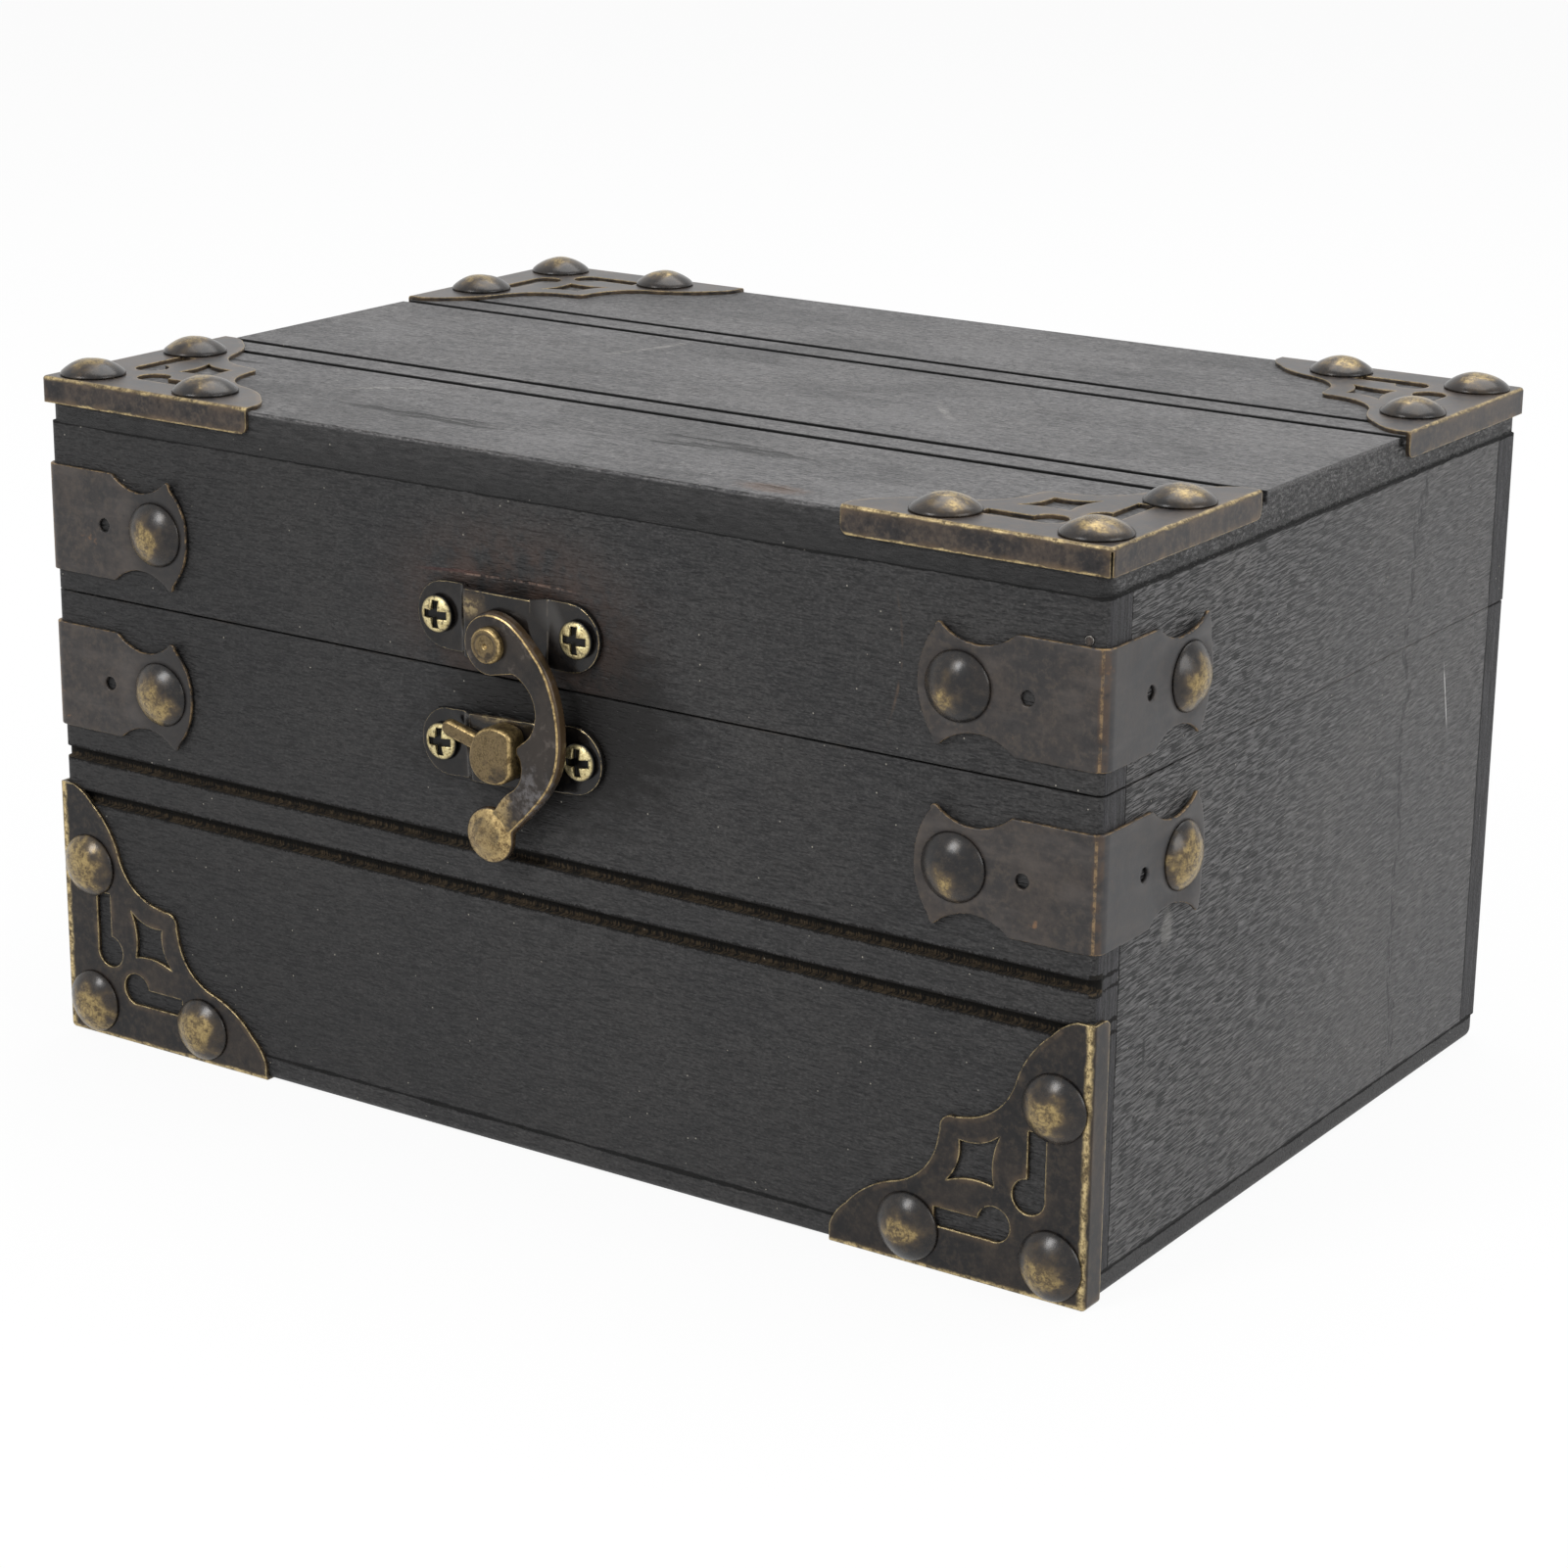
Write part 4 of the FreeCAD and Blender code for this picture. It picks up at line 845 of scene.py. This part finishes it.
# A nail: radius and rise of the round of its head, the rim under it, and its shank
HEAD_R, HEAD_ROUND, HEAD_TOP = 4.85, 2.0, 2.36
NAIL_BELOW = ((4.78, 0.36), (HEAD_R, 0.22), (4.82, 0.08), (4.7, 0.0), (0.65, 0.0), (0.65, -3.6),
              (0.02, -5.0))
HEAD_ROWS, HEAD_SIDES = 16, 56


def dome(seed, centre, u, v, points, faces, local):
    """One hammered nail head with its pointed shank, added to the lists."""
    rng = random.Random(seed)
    out = u.cross(v)
    lean = rng.uniform(0, 6.28)
    squeeze = rng.uniform(0.0, 0.02)
    shift = Vector((rng.uniform(0, 50), rng.uniform(0, 50), rng.uniform(0, 50)))
    rows = [(0.02 + 4.63 * (i / (HEAD_ROWS - 1)) ** 0.9, None) for i in range(HEAD_ROWS)]
    rows += NAIL_BELOW
    start = len(points)
    sphere = (HEAD_R ** 2 + HEAD_ROUND ** 2) / (2 * HEAD_ROUND)
    for r, level in rows:
        for k in range(HEAD_SIDES):
            angle = 2 * math.pi * k / HEAD_SIDES
            reach = r * (1 + squeeze * math.cos(2 * (angle + lean)))
            x, y = reach * math.cos(angle), reach * math.sin(angle)
            tall = level
            if level is None:
                broad = noise.noise(Vector((x * 0.28, y * 0.28, 0)) + shift)
                fine = noise.noise(Vector((x * 0.8, y * 0.8, 5)) + shift)
                tall = HEAD_TOP - (sphere - math.sqrt(sphere ** 2 - r ** 2))
                tall += (0.13 * broad + 0.03 * fine) * (1 - (r / HEAD_R) ** 4)
            points.append(centre + u * x + v * y + out * tall)
            local.append((x, y, 0.0))
    for i in range(len(rows) - 1):
        for k in range(HEAD_SIDES):
            a, b = (start + i * HEAD_SIDES + at for at in (k, (k + 1) % HEAD_SIDES))
            faces.append((a, a + HEAD_SIDES, b + HEAD_SIDES, b))
    faces.append([start + k for k in range(HEAD_SIDES)])
    last = start + (len(rows) - 1) * HEAD_SIDES
    faces.append([last + HEAD_SIDES - 1 - k for k in range(HEAD_SIDES)])


# The rub on each nail head: across and up from the head's middle, and how far it reaches
CORNER_RUBS = {1: ((-0.6, -1.0, 3.4), (-0.6, -0.6, 3.4), (0.3, -0.3, 3.0)),
               -1: ((0, -1, 4.8), (-1, 0, 5.4), (-0.5, -0.5, 4.8))}
STRAP_RUBS = {("lid", 1): (-1.5, -0.7, 2.2), ("base", 1): (-0.6, -1.8, 2.2),
              ("lid", -1): (-0.8, -1.5, 3.5), ("base", -1): (-1.0, -1.6, 4.4)}
SIDE_RUBS = {"lid": (0.2, -0.9, 3.9), "base": (-0.2, -0.5, 4.8)}
TOP_RUB = (0.6, -0.4, 3.4)


def outwards(rub, side):
    return (rub[0] * side, *rub[1:])


X, Y, Z = Vector((1, 0, 0)), Vector((0, 1, 0)), Vector((0, 0, 1))
nail_sets = {"base_bracket_nails": [], "lid_bracket_nails": [],
             "base_strap_nails": [], "lid_strap_nails": []}
for side in (-1, 1):
    top_rub = outwards(TOP_RUB, side)
    for (a, b), rub in zip(CORNER_NAILS, CORNER_RUBS[side]):
        x = side * (OUT_X - a)
        nail_sets["base_bracket_nails"].append((Vector((x, OUT_FRONT, b)), X, Z, rub))
        for y in (OUT_FRONT + b, OUT_BACK - b):
            nail_sets["lid_bracket_nails"].append((Vector((x, y, PLATE_Z)), X, Y, top_rub))
    for body, mid in STRAP_Z.items():
        front_place = Vector((side * (OUT_X - STRAP_NAIL), OUT_FRONT, mid))
        side_place = Vector((side * OUT_X, OUT_FRONT + STRAP_NAIL, mid))
        nail_sets[body + "_strap_nails"] += [
            (front_place, X, Z, STRAP_RUBS[body, side]),
            (side_place, Y * side, Z, outwards(SIDE_RUBS[body], side))]

for number, (key, places) in enumerate(nail_sets.items()):
    points, faces, local, rubs = [], [], [], []
    for index, (centre, u, v, rub) in enumerate(places):
        dome(100 * number + index * 7 + 3, centre, u, v, points, faces, local)
        rubs += [rub] * (len(points) - len(rubs))
    name = key.replace("_nails", "_dome_nails")
    mesh = bpy.data.meshes.new(name)
    mesh.from_pydata([point / MM for point in points], [], faces)
    mesh.validate()
    smooth_faces(mesh)
    for label, values in (("nail", local), ("rub", rubs)):
        marks = mesh.attributes.new(label, "FLOAT_VECTOR", "POINT")
        marks.data.foreach_set("vector", [c for value in values for c in value])
    ridden(name, mesh, nail_metal, key.split("_")[0], key)

# Floor, light and camera, in metres
FLOOR_HALF = 6
floor_mesh = bpy.data.meshes.new("floor")
floor_mesh.from_pydata([(x * FLOOR_HALF, y * FLOOR_HALF, 0)
                        for x, y in ((-1, -1), (1, -1), (1, 1), (-1, 1))], [], [(0, 1, 2, 3)])
floor = bpy.data.objects.new("floor", floor_mesh)
bpy.context.scene.collection.objects.link(floor)


def shows_white(tree, kind, surface, output, share):
    """Ends a tree in a surface that is white where the camera or a clear reflection sees it."""
    path = tree.nodes.new("ShaderNodeLightPath")
    seen = path.outputs["Is Camera Ray"]
    for other in ("Is Glossy Ray", "Is Transmission Ray"):
        both = tree.nodes.new("ShaderNodeMath")
        both.operation = "MAXIMUM"
        tree.links.new(seen, both.inputs[0])
        tree.links.new(path.outputs[other], both.inputs[1])
        seen = both.outputs[0]
    part = tree.nodes.new("ShaderNodeMath")
    part.operation = "MULTIPLY"
    part.inputs[1].default_value = share
    white = tree.nodes.new(kind)
    white.inputs[0].default_value = (1, 1, 1, 1)
    mixer = tree.nodes.new("ShaderNodeMixShader")
    out = tree.nodes.new(output)
    tree.links.new(seen, part.inputs[0])
    tree.links.new(part.outputs[0], mixer.inputs[0])
    tree.links.new(surface.outputs[0], mixer.inputs[1])
    tree.links.new(white.outputs[0], mixer.inputs[2])
    tree.links.new(mixer.outputs[0], out.inputs[0])


pale = bpy.data.materials.new("pale_floor")
pale.use_nodes = True
pale.node_tree.nodes.clear()
spread = pale.node_tree.nodes.new("ShaderNodeBsdfDiffuse")
spread.inputs[0].default_value = (0.86, 0.86, 0.86, 1)
shows_white(pale.node_tree, "ShaderNodeEmission", spread, "ShaderNodeOutputMaterial", 0.93)
floor_mesh.materials.append(pale)

world = bpy.data.worlds.new("studio")
bpy.context.scene.world = world
world.use_nodes = True
world.node_tree.nodes.clear()
room = world.node_tree.nodes.new("ShaderNodeBackground")
room.inputs[0].default_value = (0.5, 0.5, 0.51, 1)
shows_white(world.node_tree, "ShaderNodeBackground", room, "ShaderNodeOutputWorld", 1.0)


def lamp(name, place, size, power):
    """A soft square light that shines towards the middle of the box."""
    aim = Vector((0, 0, 0.05))
    data = bpy.data.lights.new(name, "AREA")
    data.shape = "SQUARE"
    data.size = size
    data.energy = power
    made = bpy.data.objects.new(name, data)
    made.location = place
    made.rotation_euler = (aim - Vector(place)).to_track_quat("-Z", "Y").to_euler()
    bpy.context.scene.collection.objects.link(made)


lamp("key_light", (-0.25, -0.95, 0.75), 0.34, 5.6)
lamp("fill_light", (1.05, -0.05, 0.50), 0.6, 4.6)
lamp("top_light", (0.0, 0.35, 1.0), 0.8, 6.2)

lens = bpy.data.cameras.new("photo_camera")
lens.lens = 87.0
lens.sensor_width = 36.0
camera = bpy.data.objects.new("photo_camera", lens)
camera.location = (0.30840134, -0.46116511, 0.21263399)
camera.rotation_euler = (1.26947449, -0.01081799, 0.59183832)
bpy.context.scene.collection.objects.link(camera)
bpy.context.scene.camera = camera
bpy.context.scene.view_settings.view_transform = "Standard"
